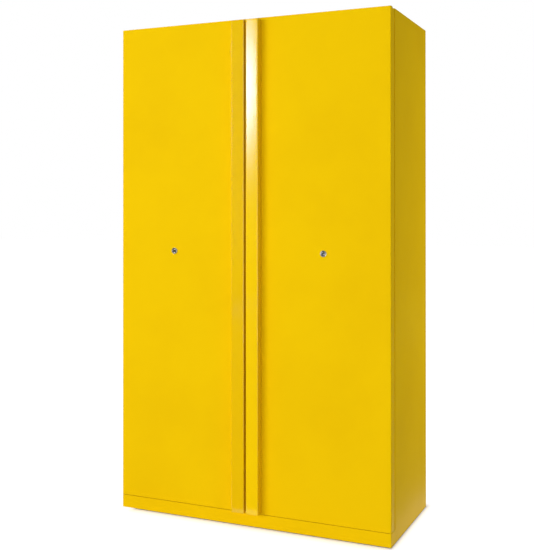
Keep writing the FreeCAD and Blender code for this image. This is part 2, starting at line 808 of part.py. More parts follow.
def shelf_upright(y):
    """Right-hand slotted channel for the shelf clips, its open side to the liner."""
    z0 = floor_z + sump_height + upright_end_gap
    z1 = ceiling_z - upright_end_gap
    channel = box(upright_x, inner_half_width, y - upright_width / 2, y + upright_width / 2, z0, z1)
    channel = channel.cut(box(upright_x + upright_sheet, inner_half_width + sheet,
                              y - upright_width / 2 + upright_sheet, y + upright_width / 2 - upright_sheet,
                              z0 - sheet, z1 + sheet))
    count = int((z1 - z0) / slot_pitch)
    slots = []
    for k in range(count):
        z = slot_row_z(z0, k)
        slots.append(box(upright_x - sheet, upright_x + 2 * upright_sheet, y - slot_width / 2, y + slot_width / 2,
                         z - slot_height / 2, z + slot_height / 2))
    return channel.cut(Part.makeCompound(slots))


def slot_row_z(z0, k):
    """Height of a slot in the uprights."""
    return z0 + slot_pitch / 2 + k * slot_pitch


def clip_height(level):
    """The slot nearest to a shelf level, so that the clip hooks into it."""
    z0 = floor_z + sump_height + upright_end_gap
    k = round((level - slot_row_z(z0, 0)) / slot_pitch)
    return slot_row_z(z0, k)


def shelf_clip(y, level):
    """Right-hand clip: a lug in the slot, a plate on the upright and a ledge under the shelf."""
    z = clip_height(level)
    top = z + slot_height / 2
    lug = box(upright_x, upright_x + 2 * upright_sheet, y - slot_width / 2 + loose_clearance,
              y + slot_width / 2 - loose_clearance, z - slot_height / 2 + loose_clearance,
              z + slot_height / 2 - loose_clearance)
    plate = box(upright_x - clip_thickness, upright_x, y - clip_width / 2, y + clip_width / 2,
                top - clip_lug, top)
    ledge = box(upright_x - clip_reach, upright_x, y - clip_width / 2, y + clip_width / 2,
                top - clip_thickness, top)
    return lug.fuse(plate).fuse(ledge).removeSplitter()


def shelf(level):
    """Tray shelf with an upstand all round and a hem turned down outside it."""
    z0 = clip_height(level) + slot_height / 2
    reach = upright_x - shelf_side_gap
    tray = box(-reach, reach, shelf_front_y, shelf_back_y, z0, z0 + shelf_rim)
    tray = tray.cut(box(shelf_sheet - reach, reach - shelf_sheet, shelf_front_y + shelf_sheet,
                        shelf_back_y - shelf_sheet, z0 + shelf_sheet, z0 + shelf_rim + sheet))
    hem = box(shelf_sheet - reach, reach - shelf_sheet, shelf_front_y + shelf_sheet,
              shelf_front_y + 2 * shelf_sheet, z0 + shelf_rim - shelf_hem, z0 + shelf_rim)
    return tray.fuse(hem).removeSplitter()


def sump_tray():
    """Liquid-tight tray on the cabinet floor."""
    reach = inner_half_width - sump_side_gap
    y0 = carcass_y + sump_front_setback
    tray = box(-reach, reach, y0, shelf_back_y, floor_z, floor_z + sump_height)
    return tray.cut(box(sump_sheet - reach, reach - sump_sheet, y0 + sump_sheet, shelf_back_y - sump_sheet,
                        floor_z + sump_sheet, floor_z + sump_height + sheet))


def sump_grid():
    """Perforated sheet on down-turned flanges, standing in the sump as the lowest shelf, open along its front."""
    reach = inner_half_width - sump_side_gap - sump_sheet - grid_gap
    y0 = carcass_y + sump_front_setback + sump_sheet + grid_front_gap
    y1 = shelf_back_y - sump_sheet - grid_gap
    z1 = floor_z + sump_height - grid_drop
    z0 = z1 - grid_flange
    foot = floor_z + sump_sheet
    plate = box(-reach, reach, y0, y1, z0, z1)
    plate = plate.cut(box(sump_sheet - reach, reach - sump_sheet, y0 + sump_sheet, y1 - sump_sheet,
                          z0 - sheet, z1 - sump_sheet))
    for x in (-reach, reach - sump_sheet):
        plate = plate.fuse(box(x, x + sump_sheet, y0, y1, foot, z0))
    step_x = 2 * reach / grid_columns
    step_y = (y1 - y0) / grid_rows
    slots = []
    for column in range(grid_columns):
        for row in range(grid_rows):
            x = -reach + step_x / 2 + column * step_x
            y = y0 + step_y / 2 + row * step_y
            slots.append(box(x - grid_slot_length / 2, x + grid_slot_length / 2, y - grid_slot_width / 2,
                             y + grid_slot_width / 2, z1 - 2 * sump_sheet, z1 + sheet))
    return plate.cut(Part.makeCompound(slots)).removeSplitter()


def rear_duct():
    """Folded air duct on the rear liner, open at the back and the top, slotted at floor and shelf heights."""
    z0 = floor_z + sump_height + duct_bottom_gap
    half = duct_width / 2
    y0 = inner_back_y - duct_depth
    top = ceiling_z - plenum_height
    channel = box(-half, half, y0, inner_back_y, z0, top)
    channel = channel.cut(box(duct_sheet - half, half - duct_sheet, y0 + duct_sheet, inner_back_y + sheet,
                              z0 + duct_sheet, top + sheet))
    slots = []
    for level in (z0,) + shelf_levels:
        for k in range(duct_slots_per_group):
            z = level + shelf_rim + (k + 1) * duct_slot_pitch
            slots.append(box(-duct_slot_length / 2, duct_slot_length / 2, y0 - sheet, y0 + 2 * duct_sheet,
                             z - duct_slot_width / 2, z + duct_slot_width / 2))
    return channel.cut(Part.makeCompound(slots))


def exhaust_plenum():
    """Folded box under the ceiling that joins the duct's top to the exhaust spigot."""
    half = plenum_width / 2
    y0 = inner_back_y - plenum_depth
    z0 = ceiling_z - plenum_height
    casing = box(-half, half, y0, inner_back_y, z0, ceiling_z)
    casing = casing.cut(box(duct_sheet - half, half - duct_sheet, y0 + duct_sheet, inner_back_y + sheet,
                            z0 + duct_sheet, ceiling_z + sheet))
    half_duct = duct_width / 2 - duct_sheet
    return casing.cut(box(-half_duct, half_duct, inner_back_y - duct_depth + duct_sheet, inner_back_y + sheet,
                          z0 - sheet, z0 + 2 * duct_sheet))


def spigot(x):
    """Air stub through the ceiling with a flange on the top sheet, bored across for its damper spindle."""
    tube = rod_along_z(x, spigot_y, ceiling_z, top_z + spigot_height, spigot_radius)
    flange = rod_along_z(x, spigot_y, top_z, top_z + spigot_flange, spigot_flange_radius)
    stub = tube.fuse(flange)
    stub = stub.cut(rod_along_z(x, spigot_y, ceiling_z - sheet, top_z + 2 * spigot_height,
                                spigot_radius - spigot_wall))
    return stub.cut(rod_along_x(x - 2 * spigot_radius, x + 2 * spigot_radius, spigot_y, damper_z,
                                damper_spindle + running_clearance)).removeSplitter()


def damper(x):
    """Round flap on a spindle across the stub, upright when open."""
    disc = rod_along_y(x, spigot_y - damper_thickness / 2, spigot_y + damper_thickness / 2, damper_z, damper_radius)
    spindle = rod_along_x(x - damper_spindle_half, x + damper_spindle_half, spigot_y, damper_z, damper_spindle)
    return disc.fuse(spindle).removeSplitter()


def earthing_stud():
    """Stud pressed through the top sheet, with a flanged nut run down on it."""
    x = -(half_width - earth_from_side)
    y = back_y - earth_from_back
    stud = rod_along_z(x, y, top_z - sheet, top_z + earth_length, earth_radius)
    washer = rod_along_z(x, y, top_z, top_z + earth_washer, earth_washer_radius)
    nut = hexagon(x, y, top_z + earth_washer, top_z + earth_washer + earth_nut_height, earth_nut_flats)
    return stud.fuse(washer).fuse(nut).removeSplitter()


def front_bar_block(is_top, x0, x1):
    """A stretch of the flat bar between the front flange and the lining of the ceiling or the floor."""
    z0 = ceiling_z if is_top else floor_z - liner_thickness
    return box(x0, x1, carcass_y + sheet, keeper_back_y, z0, z0 + liner_thickness)


def rod_keepers():
    """Four slotted plates that the rods' tips enter, flush with the ceiling and the floor."""
    pieces = []
    for is_top in (True, False):
        for x in keeper_places(is_top):
            plate = front_bar_block(is_top, x - keeper_length / 2, x + keeper_length / 2)
            pieces.append(plate.cut(keeper_slots(is_top, floor_z - keeper_pocket, ceiling_z + keeper_pocket)))
    return Part.makeCompound(pieces)


def front_bars():
    """The flat bars that carry on the keepers' line from side to side."""
    pieces = []
    for is_top in (True, False):
        left = -inner_half_width
        for x in sorted(keeper_places(is_top)):
            pieces.append(front_bar_block(is_top, left, x - keeper_length / 2))
            left = x + keeper_length / 2
        pieces.append(front_bar_block(is_top, left, inner_half_width))
    return Part.makeCompound(pieces)


def foot_places():
    """The four feet, with their names."""
    x = half_width - foot_from_side
    front = carcass_y + foot_from_front
    rear = back_y - foot_from_back
    return {"front_left_foot": (-x, front), "front_right_foot": (x, front),
            "rear_left_foot": (-x, rear), "rear_right_foot": (x, rear)}


def foot(x, y):
    """Levelling foot: pad, hexagonal collar and threaded spindle."""
    pad = rod_along_z(x, y, 0, foot_pad_height, foot_pad_radius)
    rim = [edge for edge in pad.Edges if abs(edge.CenterOfMass.z - foot_pad_height) < SAME_PLACE]
    pad = pad.makeChamfer(foot_pad_chamfer, rim)
    collar = hexagon(x, y, foot_pad_height, foot_pad_height + foot_collar_height, foot_collar_flats)
    spindle = rod_along_z(x, y, foot_pad_height, base_z - foot_top_gap, foot_spindle_radius)
    return pad.fuse(collar).fuse(spindle).removeSplitter()


def foot_brackets():
    """Four channel brackets under the base sheet, each with a nut for its foot."""
    pieces = []
    low = base_z - bracket_drop
    for x, y in foot_places().values():
        outside = box(x - bracket_half_width, x + bracket_half_width, y - bracket_half_length,
                      y + bracket_half_length, low, base_z)
        inside = box(x - bracket_half_width + bracket_sheet, x + bracket_half_width - bracket_sheet,
                     y - bracket_half_length - sheet, y + bracket_half_length + sheet,
                     low + bracket_sheet, base_z + sheet)
        nut = hexagon(x, y, low + bracket_sheet, low + bracket_sheet + bracket_nut_height, bracket_nut_flats)
        bore = rod_along_z(x, y, low - sheet, base_z, foot_spindle_radius + running_clearance)
        pieces.append(outside.cut(inside).fuse(nut).cut(bore).removeSplitter())
    return Part.makeCompound(pieces)


def cabinet_pieces():
    """Everything that stays with the carcass."""
    side = right_side_panel()
    insulation = right_insulation()
    liner = right_liner()
    uprights = [shelf_upright(y) for y in upright_ys]
    clips = [shelf_clip(y, level) for y in upright_ys for level in shelf_levels]
    return {
        "right_side_panel": side,
        "left_side_panel": mirrored(side),
        "rear_panel": rear_panel(),
        "top_panel": top_panel(),
        "base_panel": base_panel(),
        "insulation_boards": Part.makeCompound([insulation, mirrored(insulation), rear_insulation(),
                                                ceiling_insulation(), floor_insulation()]),
        "side_liners": Part.makeCompound([liner, mirrored(liner)]),
        "rear_liner": rear_liner(),
        "ceiling_liner": ceiling_liner(),
        "floor_liner": floor_liner(),
        "plinth_cover": plinth_cover(),
        "hinge_plates": hinge_plates(),
        "intumescent_strips": intumescent_strips(),
        "frame_gasket": frame_gasket(),
        "shelf_uprights": Part.makeCompound(uprights + [mirrored(piece) for piece in uprights]),
        "shelf_clips": Part.makeCompound(clips + [mirrored(piece) for piece in clips]),
        "lower_shelf": shelf(shelf_levels[0]),
        "middle_shelf": shelf(shelf_levels[1]),
        "upper_shelf": shelf(shelf_levels[2]),
        "sump_tray": sump_tray(),
        "sump_grid": sump_grid(),
        "rear_duct": rear_duct(),
        "exhaust_plenum": exhaust_plenum(),
        "duct_spigots": Part.makeCompound([spigot(exhaust_x), spigot(supply_x)]),
        "earthing_stud": earthing_stud(),
        "rod_keepers": rod_keepers(),
        "front_bars": front_bars(),
        "foot_brackets": foot_brackets(),
        "exhaust_damper": damper(exhaust_x),
        "supply_damper": damper(supply_x),
    }


def door_pieces(lock_x):
    """Everything on the right door, with its lock at a distance from the middle."""
    return {
        "door_skin": door_skin(lock_x),
        "door_core": door_core(lock_x),
        "door_back": door_back(lock_x),
        "rod_guides": rod_guides(lock_x),
        "handle_strip": handle_strip(),
        "lock_barrel": lock_barrel(lock_x),
        "lock_cylinder": lock_cylinder(lock_x),
        "gearbox": gearbox(lock_x),
        "top_rod": rack(lock_x, top_rod_end_z),
        "bottom_rod": rack(lock_x, bottom_rod_end_z),
        "hinge_bush": hinge_bush(),
        "closer": closer(),
    }


def all_pieces():
    """Every piece of the cabinet under its name."""
    pieces = cabinet_pieces()
    for name, (x, y) in foot_places().items():
        pieces[name] = foot(x, y)
    for name, shape in door_pieces(right_lock_offset).items():
        pieces["right_" + name] = shape
    for name, shape in door_pieces(left_lock_offset).items():
        pieces["left_" + name] = mirrored(shape)
    pieces["meeting_seal"] = meeting_seal()
    return pieces


for piece_name, piece_shape in all_pieces().items():
    piece_shape.exportStep("parts/" + piece_name + ".step")
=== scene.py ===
import math

import bpy
import numpy as np
from mathutils import Matrix, Vector


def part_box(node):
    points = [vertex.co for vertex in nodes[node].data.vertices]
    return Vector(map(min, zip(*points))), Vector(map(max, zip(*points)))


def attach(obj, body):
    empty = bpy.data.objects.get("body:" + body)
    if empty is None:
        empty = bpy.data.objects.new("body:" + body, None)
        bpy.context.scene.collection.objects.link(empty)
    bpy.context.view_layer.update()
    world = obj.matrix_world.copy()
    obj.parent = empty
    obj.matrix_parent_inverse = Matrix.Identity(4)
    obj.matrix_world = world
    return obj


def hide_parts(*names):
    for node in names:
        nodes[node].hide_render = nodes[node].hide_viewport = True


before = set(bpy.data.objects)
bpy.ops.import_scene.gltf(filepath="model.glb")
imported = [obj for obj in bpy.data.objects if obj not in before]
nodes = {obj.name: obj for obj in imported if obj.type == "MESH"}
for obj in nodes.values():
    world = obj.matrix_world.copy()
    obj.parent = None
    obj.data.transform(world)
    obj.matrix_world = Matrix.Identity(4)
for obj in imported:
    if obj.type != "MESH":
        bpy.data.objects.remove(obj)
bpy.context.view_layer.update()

scene = bpy.context.scene

# Camera: a long lens in front and to the right of the cabinet, at a standing person's chest height.
# The image is 534 by 550, and the lens is shifted, so that the upright edges stay upright.
IMAGE_LONG_SIDE = 550
FOCAL_PIXELS = 986.77
SENSOR = 36.0
NEAREST, FARTHEST = 0.05, 60.0
CAMERA_PLACE = Vector((1.45581, -3.79164, 1.21700))
CAMERA_YAW = math.radians(26.855)
CAMERA_PITCH = math.radians(0.191)
PRINCIPAL_POINT_OFFSET = (95.15, -68.06)

camera_data = bpy.data.cameras.new("camera")
camera_data.sensor_width = SENSOR
camera_data.lens = FOCAL_PIXELS * SENSOR / IMAGE_LONG_SIDE
camera_data.shift_x = PRINCIPAL_POINT_OFFSET[0] / IMAGE_LONG_SIDE
camera_data.shift_y = PRINCIPAL_POINT_OFFSET[1] / IMAGE_LONG_SIDE
camera_data.clip_start, camera_data.clip_end = NEAREST, FARTHEST
camera = bpy.data.objects.new("camera", camera_data)
scene.collection.objects.link(camera)
scene.camera = camera
ahead = Vector((-math.sin(CAMERA_YAW) * math.cos(CAMERA_PITCH),
                math.cos(CAMERA_YAW) * math.cos(CAMERA_PITCH), math.sin(CAMERA_PITCH)))
to_right = Vector((math.cos(CAMERA_YAW), math.sin(CAMERA_YAW), 0.0))
upward = to_right.cross(ahead)
facing = Matrix((to_right, upward, -ahead)).transposed().to_4x4()
camera.matrix_world = Matrix.Translation(CAMERA_PLACE) @ facing
scene.view_settings.view_transform = "Standard"


# Studio: a large key softbox at the left front, a low front fill, a weak lamp at the right back, and an
# even pale surround with a white background. Each lamp has its place, the point it faces, its width,
# its height and its radiance.
LAMPS = {
    "key_softbox": ((-3.9, -7.4, 2.0), (0.0, -0.3, 1.1), 4.4, 2.8, 7.9),
    "front_fill": ((0.5, -6.4, 0.7), (0.0, -0.3, 0.7), 2.6, 1.8, 8.6),
    "back_lamp": ((2.3, 1.6, 1.1), (0.55, 0.30, 1.0), 0.8, 1.8, 6.1)}
SURROUND_LIGHT = 0.25
SURROUND_SEEN = 1.0
WHITE = (1.0, 1.0, 1.0, 1.0)


def softbox(name, place, aim, width, height, radiance):
    """A rectangular lamp that faces a point. Its power is radiance times area times pi."""
    data = bpy.data.lights.new(name, "AREA")
    data.shape = "RECTANGLE"
    data.size = width
    data.size_y = height
    data.energy = radiance * width * height * math.pi
    lamp = bpy.data.objects.new(name, data)
    scene.collection.objects.link(lamp)
    lamp.location = place
    lamp.rotation_mode = "QUATERNION"
    lamp.rotation_quaternion = (Vector(aim) - Vector(place)).to_track_quat("-Z", "Y")
    lamp.visible_camera = False
    lamp.visible_glossy = False


for name, settings in LAMPS.items():
    softbox(name, *settings)


def node_graph(tree):
    """Empties a node tree and returns a short way to add a node with its settings."""
    tree.nodes.clear()

    def add(kind, **settings):
        made = tree.nodes.new(kind)
        for key, value in settings.items():
            setattr(made, key, value)
        return made

    return add


def seen_directly(add, link):
    """One where a ray comes from the camera, a mirror or through glass, and nought where it only lights."""
    ray = add("ShaderNodeLightPath")
    first = add("ShaderNodeMath", operation="MAXIMUM")
    second = add("ShaderNodeMath", operation="MAXIMUM")
    link(ray.outputs["Is Camera Ray"], first.inputs[0])
    link(ray.outputs["Is Glossy Ray"], first.inputs[1])
    link(first.outputs[0], second.inputs[0])
    link(ray.outputs["Is Transmission Ray"], second.inputs[1])
    return second.outputs[0]


world = bpy.data.worlds.new("studio")
scene.world = world
world.use_nodes = True
add = node_graph(world.node_tree)
link = world.node_tree.links.new
looked_at = seen_directly(add, link)
surround = add("ShaderNodeBackground")
surround.inputs["Color"].default_value = WHITE
strength = add("ShaderNodeMapRange")
strength.inputs["To Min"].default_value = SURROUND_LIGHT
strength.inputs["To Max"].default_value = SURROUND_SEEN
link(looked_at, strength.inputs["Value"])
link(strength.outputs["Result"], surround.inputs["Strength"])
link(surround.outputs[0], add("ShaderNodeOutputWorld").inputs["Surface"])


# Floor: one wide pale sheet that takes the cabinet's soft shadow. It is white to the camera, but its
# glow fades in a band beside and below the plinth, moved away from the key side: a painted shadow
# there, through which the real shadow also shows.
FLOOR_HALF = 30.0
FLOOR_GLOW = 0.82
# Painted shadow: the reach, the stretch across and the falloff of the band where the floor's glow is taken away
# near the cabinet.
PAINTED_SHADOW_REACH = 0.060
PAINTED_SHADOW_STRETCH = (2.4, 1.0, 1.0)
PAINTED_SHADOW_FALLOFF = 0.4
KEY_SIDE_INSET = 0.060
FLOOR_TONE = (0.76, 0.76, 0.76, 1.0)


def grid_mesh(name, points, closed_rows=False, closed_columns=False, capped=False, sharp_angle=None):
    """A mesh over a grid of points with shape (rows, columns, 3).

    Row i and column j are joined to i+1 and j+1, and wrap round where a direction is closed. Caps close the
    first and the last row. Where the faces of a closed shape enclose a negative volume, the sum of a . (b x c)
    over their triangles, they are turned round, so that they look outwards."""
    rows, columns = points.shape[:2]
    i = np.arange(rows if closed_rows else rows - 1)
    j = np.arange(columns if closed_columns else columns - 1)
    i, j = np.meshgrid(i, j, indexing="ij")
    i2, j2 = (i + 1) % rows, (j + 1) % columns
    quads = np.stack([i * columns + j, i2 * columns + j, i2 * columns + j2, i * columns + j2], axis=-1)
    quads = quads.reshape(-1, 4)
    points = points.reshape(-1, 3)
    first_row, last_row = np.arange(columns), np.arange(columns) + (rows - 1) * columns
    a, b, c, d = (points[quads] - points.mean(axis=0)).transpose(1, 0, 2)
    if closed_columns and np.sum(a * (np.cross(b, c) + np.cross(c, d))) < 0.0:
        quads, first_row, last_row = quads[:, ::-1], first_row[::-1], last_row[::-1]
    caps = [first_row.tolist(), last_row[::-1].tolist()] if capped else []
    mesh = bpy.data.meshes.new(name)
    mesh.from_pydata(points.tolist(), [], quads.tolist() + caps)
    mesh.polygons.foreach_set("use_smooth", np.full(len(mesh.polygons), sharp_angle is not None))
    mesh.update()
    if sharp_angle is not None:
        mesh.set_sharp_from_angle(angle=math.radians(sharp_angle))
    return mesh


floor_material = bpy.data.materials.new("pale_floor")
floor_material.use_nodes = True
add = node_graph(floor_material.node_tree)
link = floor_material.node_tree.links.new
matt = add("ShaderNodeBsdfDiffuse")
matt.inputs["Color"].default_value = FLOOR_TONE
glow = add("ShaderNodeEmission")
glow.inputs["Color"].default_value = WHITE
base_low, base_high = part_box("plinth_cover")
base_high.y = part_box("rear_panel")[1].y
place = add("ShaderNodeTexCoord")
centred = add("ShaderNodeVectorMath", operation="SUBTRACT")
centred.inputs[1].default_value = (0.5 * KEY_SIDE_INSET, 0.5 * (base_low.y + base_high.y), 0.0)
folded = add("ShaderNodeVectorMath", operation="ABSOLUTE")
beyond = add("ShaderNodeVectorMath", operation="SUBTRACT")
beyond.inputs[1].default_value = (0.5 * (base_high.x - base_low.x - KEY_SIDE_INSET),
                                  0.5 * (base_high.y - base_low.y), 0.0)
outside = add("ShaderNodeVectorMath", operation="MAXIMUM")
distance = add("ShaderNodeVectorMath", operation="LENGTH")
link(place.outputs["Object"], centred.inputs[0])
link(centred.outputs[0], folded.inputs[0])
link(folded.outputs[0], beyond.inputs[0])
link(beyond.outputs[0], outside.inputs[0])
stretched = add("ShaderNodeVectorMath", operation="MULTIPLY")
stretched.inputs[1].default_value = PAINTED_SHADOW_STRETCH
link(outside.outputs[0], stretched.inputs[0])
link(stretched.outputs[0], distance.inputs[0])
away = add("ShaderNodeMapRange")
away.inputs["From Max"].default_value = PAINTED_SHADOW_REACH
link(distance.outputs["Value"], away.inputs["Value"])
painted_shadow_fade = add("ShaderNodeMath", operation="POWER")
painted_shadow_fade.inputs[1].default_value = PAINTED_SHADOW_FALLOFF
link(away.outputs["Result"], painted_shadow_fade.inputs[0])
full = add("ShaderNodeMath", operation="MULTIPLY")
full.inputs[1].default_value = FLOOR_GLOW
link(painted_shadow_fade.outputs[0], full.inputs[0])
lift = add("ShaderNodeMath", operation="MULTIPLY")
link(full.outputs[0], lift.inputs[0])
link(seen_directly(add, link), lift.inputs[1])
link(lift.outputs[0], glow.inputs["Strength"])
both = add("ShaderNodeAddShader")
link(matt.outputs[0], both.inputs[0])
link(glow.outputs[0], both.inputs[1])
link(both.outputs[0], add("ShaderNodeOutputMaterial").inputs["Surface"])
edge = np.array([-FLOOR_HALF, FLOOR_HALF])
across, along = np.meshgrid(edge, edge, indexing="ij")
floor_mesh = grid_mesh("floor", np.stack([across, along, np.zeros_like(across)], axis=-1))
floor = bpy.data.objects.new("floor", floor_mesh)
scene.collection.objects.link(floor)
floor_mesh.materials.append(floor_material)


# Cards: sheets outside the picture that only mirror images show. The graded one is bright, and its
# image lies on the upper part of the right handle strip. The one at the right lights the rounded
# edges, and the dark ones keep the paint's colour deep. Each has a corner and two sides.
GLOW_PEAK = 34.0
GLOW_HEIGHT = 2.24
GLOW_SPREAD = 0.315
GLOW_REACH = 1.2
EDGE_GLOW = 5.0
CARD_BLACK = (0.012, 0.012, 0.012, 1.0)
DARK_CARDS = {
    "front_card": ((-9.0, -8.0, 0.05), (9.6, 0.0, 0.0), (0.0, 0.0, 6.0)),
    "front_floor_card": ((-9.0, -7.9, 0.01), (10.0, 0.0, 0.0), (0.0, 7.4, 0.0)),
    "side_card": ((0.2, 7.0, 0.05), (6.0, 0.0, 0.0), (0.0, 0.0, 6.0)),
    "side_floor_card": ((0.62, -0.3, 0.01), (5.6, 0.0, 0.0), (0.0, 7.2, 0.0))}
EDGE_CARD = ((3.83, -2.55, 0.1), (0.58, 1.25, 0.0), (0.0, 0.0, 2.6))
BRIGHT_CARD = ((-2.27, -4.10, GLOW_HEIGHT - GLOW_REACH), (0.30, 0.0, 0.0), (0.0, 0.0, 2 * GLOW_REACH))


def card(name, material, corner, side_a, side_b):
    """A flat sheet from one corner along two sides, seen in mirror images alone."""
    a, b = np.meshgrid([0.0, 1.0], [0.0, 1.0], indexing="ij")
    points = np.array(corner) + a[..., None] * np.array(side_a) + b[..., None] * np.array(side_b)
    mesh = grid_mesh(name, points)
    mesh.materials.append(material)
    sheet = bpy.data.objects.new(name, mesh)
    scene.collection.objects.link(sheet)
    for ray in ("camera", "diffuse", "transmission", "volume_scatter", "shadow"):
        setattr(sheet, "visible_" + ray, False)


dark = bpy.data.materials.new("dark_card")
dark.use_nodes = True
add = node_graph(dark.node_tree)
black = add("ShaderNodeBsdfDiffuse")
black.inputs["Color"].default_value = CARD_BLACK
dark.node_tree.links.new(black.outputs[0], add("ShaderNodeOutputMaterial").inputs["Surface"])
for name, sides in DARK_CARDS.items():
    card(name, dark, *sides)

lit = bpy.data.materials.new("lit_card")
lit.use_nodes = True
add = node_graph(lit.node_tree)
glow = add("ShaderNodeEmission")
glow.inputs["Strength"].default_value = EDGE_GLOW
lit.node_tree.links.new(glow.outputs[0], add("ShaderNodeOutputMaterial").inputs["Surface"])
card("edge_card", lit, *EDGE_CARD)

graded = bpy.data.materials.new("graded_card")
graded.use_nodes = True
add = node_graph(graded.node_tree)
link = graded.node_tree.links.new
place = add("ShaderNodeTexCoord")
parts = add("ShaderNodeSeparateXYZ")
link(place.outputs["Object"], parts.inputs[0])
centred = add("ShaderNodeMath", operation="SUBTRACT")
link(parts.outputs["Z"], centred.inputs[0])
centred.inputs[1].default_value = GLOW_HEIGHT
squared = add("ShaderNodeMath", operation="MULTIPLY")
link(centred.outputs[0], squared.inputs[0])
link(centred.outputs[0], squared.inputs[1])
narrowed = add("ShaderNodeMath", operation="DIVIDE")
link(squared.outputs[0], narrowed.inputs[0])
narrowed.inputs[1].default_value = -2.0 * GLOW_SPREAD ** 2
bell = add("ShaderNodeMath", operation="EXPONENT")
link(narrowed.outputs[0], bell.inputs[0])
strength = add("ShaderNodeMath", operation="MULTIPLY")
link(bell.outputs[0], strength.inputs[0])
strength.inputs[1].default_value = GLOW_PEAK
glow = add("ShaderNodeEmission")
link(strength.outputs[0], glow.inputs["Strength"])
link(glow.outputs[0], add("ShaderNodeOutputMaterial").inputs["Surface"])
card("bright_card", graded, *BRIGHT_CARD)


# Outer sheets: sheet steel 1.5 mm thick with a smooth yellow powder coat, baked on, as are the hinge
# plates. The coat has a faint orange peel and is a little uneven in tone. On the folded edges it is
# lighter, partly as a thinner, worn coat and partly as a painted highlight.
PAINT = (0.895, 0.574, 0.002)
# The lighter edge colour is partly wear and partly a painted highlight on the rounded edges.
PAINT_EDGE_WEAR_AND_HIGHLIGHT = (0.96, 0.66, 0.02)
PAINT_SHADE = (0.864, 0.544, 0.002)
PAINT_ROUGHNESS = 0.44
PAINT_SPECULAR = 0.05
PAINT_TINT = (1.0, 0.84, 0.1)
PAINT_PEEL = 0.10
TONE_SCALE = 3.1
TONE_FROM, TONE_TO = 0.32, 0.58
WAVE_SCALE, WAVE_HEIGHT, WAVE_SHARE = 210.0, 0.0006, 0.7
GRAIN_SCALE, GRAIN_HEIGHT = 780.0, 0.00016
ROUGH_SPREAD = 0.14
EDGE_REACH = 0.0016
EDGE_FROM, EDGE_TO = 0.995, 0.80


def painted(name, colour, shade, edge_wear_and_highlight_colour, roughness, specular, tint, peel):
    """A powder coat on steel.

    Tone: broad noise mixes the colour and a shade of it. Peel: fine noise and a coarser wave as bump.
    Edges: where a small bevel turns the surface away from its own normal, the lighter edge colour shows,
    partly as worn coat and partly as a painted highlight."""
    material = bpy.data.materials.new(name)
    material.use_nodes = True
    add = node_graph(material.node_tree)
    link = material.node_tree.links.new
    place = add("ShaderNodeTexCoord")
    cloud = add("ShaderNodeTexNoise")
    cloud.inputs["Scale"].default_value = TONE_SCALE
    cloud.inputs["Detail"].default_value = 4.0
    speck = add("ShaderNodeTexNoise")
    speck.inputs["Scale"].default_value = WAVE_SCALE
    speck.inputs["Detail"].default_value = 3.0
    grain = add("ShaderNodeTexNoise")
    grain.inputs["Scale"].default_value = GRAIN_SCALE
    grain.inputs["Detail"].default_value = 2.0
    for texture in (cloud, speck, grain):
        link(place.outputs["Object"], texture.inputs["Vector"])
    tone = add("ShaderNodeMix", data_type="RGBA")
    tone.inputs["A"].default_value = (*shade, 1.0)
    tone.inputs["B"].default_value = (*colour, 1.0)
    blend = add("ShaderNodeMapRange")
    blend.inputs["From Min"].default_value = TONE_FROM
    blend.inputs["From Max"].default_value = TONE_TO
    link(cloud.outputs["Fac"], blend.inputs["Value"])
    link(blend.outputs["Result"], tone.inputs["Factor"])
    rounded = add("ShaderNodeBevel", samples=4)
    rounded.inputs["Radius"].default_value = EDGE_REACH
    own = add("ShaderNodeNewGeometry")
    parallel = add("ShaderNodeVectorMath", operation="DOT_PRODUCT")
    link(rounded.outputs[0], parallel.inputs[0])
    link(own.outputs["Normal"], parallel.inputs[1])
    on_edge = add("ShaderNodeMapRange")
    on_edge.inputs["From Min"].default_value = EDGE_FROM
    on_edge.inputs["From Max"].default_value = EDGE_TO
    link(parallel.outputs["Value"], on_edge.inputs["Value"])
    edge_wear_and_highlight_mask = add("ShaderNodeMath", operation="MULTIPLY")
    link(on_edge.outputs["Result"], edge_wear_and_highlight_mask.inputs[0])
    link(speck.outputs["Fac"], edge_wear_and_highlight_mask.inputs[1])
    edge_wear_and_highlight = add("ShaderNodeMix", data_type="RGBA")
    edge_wear_and_highlight.inputs["B"].default_value = (*edge_wear_and_highlight_colour, 1.0)
    link(edge_wear_and_highlight_mask.outputs[0], edge_wear_and_highlight.inputs["Factor"])
    link(tone.outputs["Result"], edge_wear_and_highlight.inputs["A"])
    rough = add("ShaderNodeMapRange")
    rough.inputs["To Min"].default_value = roughness * (1.0 - ROUGH_SPREAD)
    rough.inputs["To Max"].default_value = roughness * (1.0 + ROUGH_SPREAD)
    link(speck.outputs["Fac"], rough.inputs["Value"])
    fine = add("ShaderNodeBump")
    fine.inputs["Strength"].default_value = peel
    fine.inputs["Distance"].default_value = GRAIN_HEIGHT
    link(grain.outputs["Fac"], fine.inputs["Height"])
    link(rounded.outputs[0], fine.inputs["Normal"])
    wave = add("ShaderNodeBump")
    wave.inputs["Strength"].default_value = peel * WAVE_SHARE
    wave.inputs["Distance"].default_value = WAVE_HEIGHT
    link(speck.outputs["Fac"], wave.inputs["Height"])
    link(fine.outputs["Normal"], wave.inputs["Normal"])
    shader = add("ShaderNodeBsdfPrincipled")
    shader.inputs["Specular IOR Level"].default_value = specular
    shader.inputs["Specular Tint"].default_value = (*tint, 1.0)
    link(edge_wear_and_highlight.outputs["Result"], shader.inputs["Base Color"])
    link(rough.outputs["Result"], shader.inputs["Roughness"])
    link(wave.outputs["Normal"], shader.inputs["Normal"])
    link(shader.outputs[0], add("ShaderNodeOutputMaterial").inputs["Surface"])
    return material


def dress(material, *names):
    """Gives a material to some of the cabinet's own nodes."""
    for name in names:
        nodes[name].data.materials.clear()
        nodes[name].data.materials.append(material)


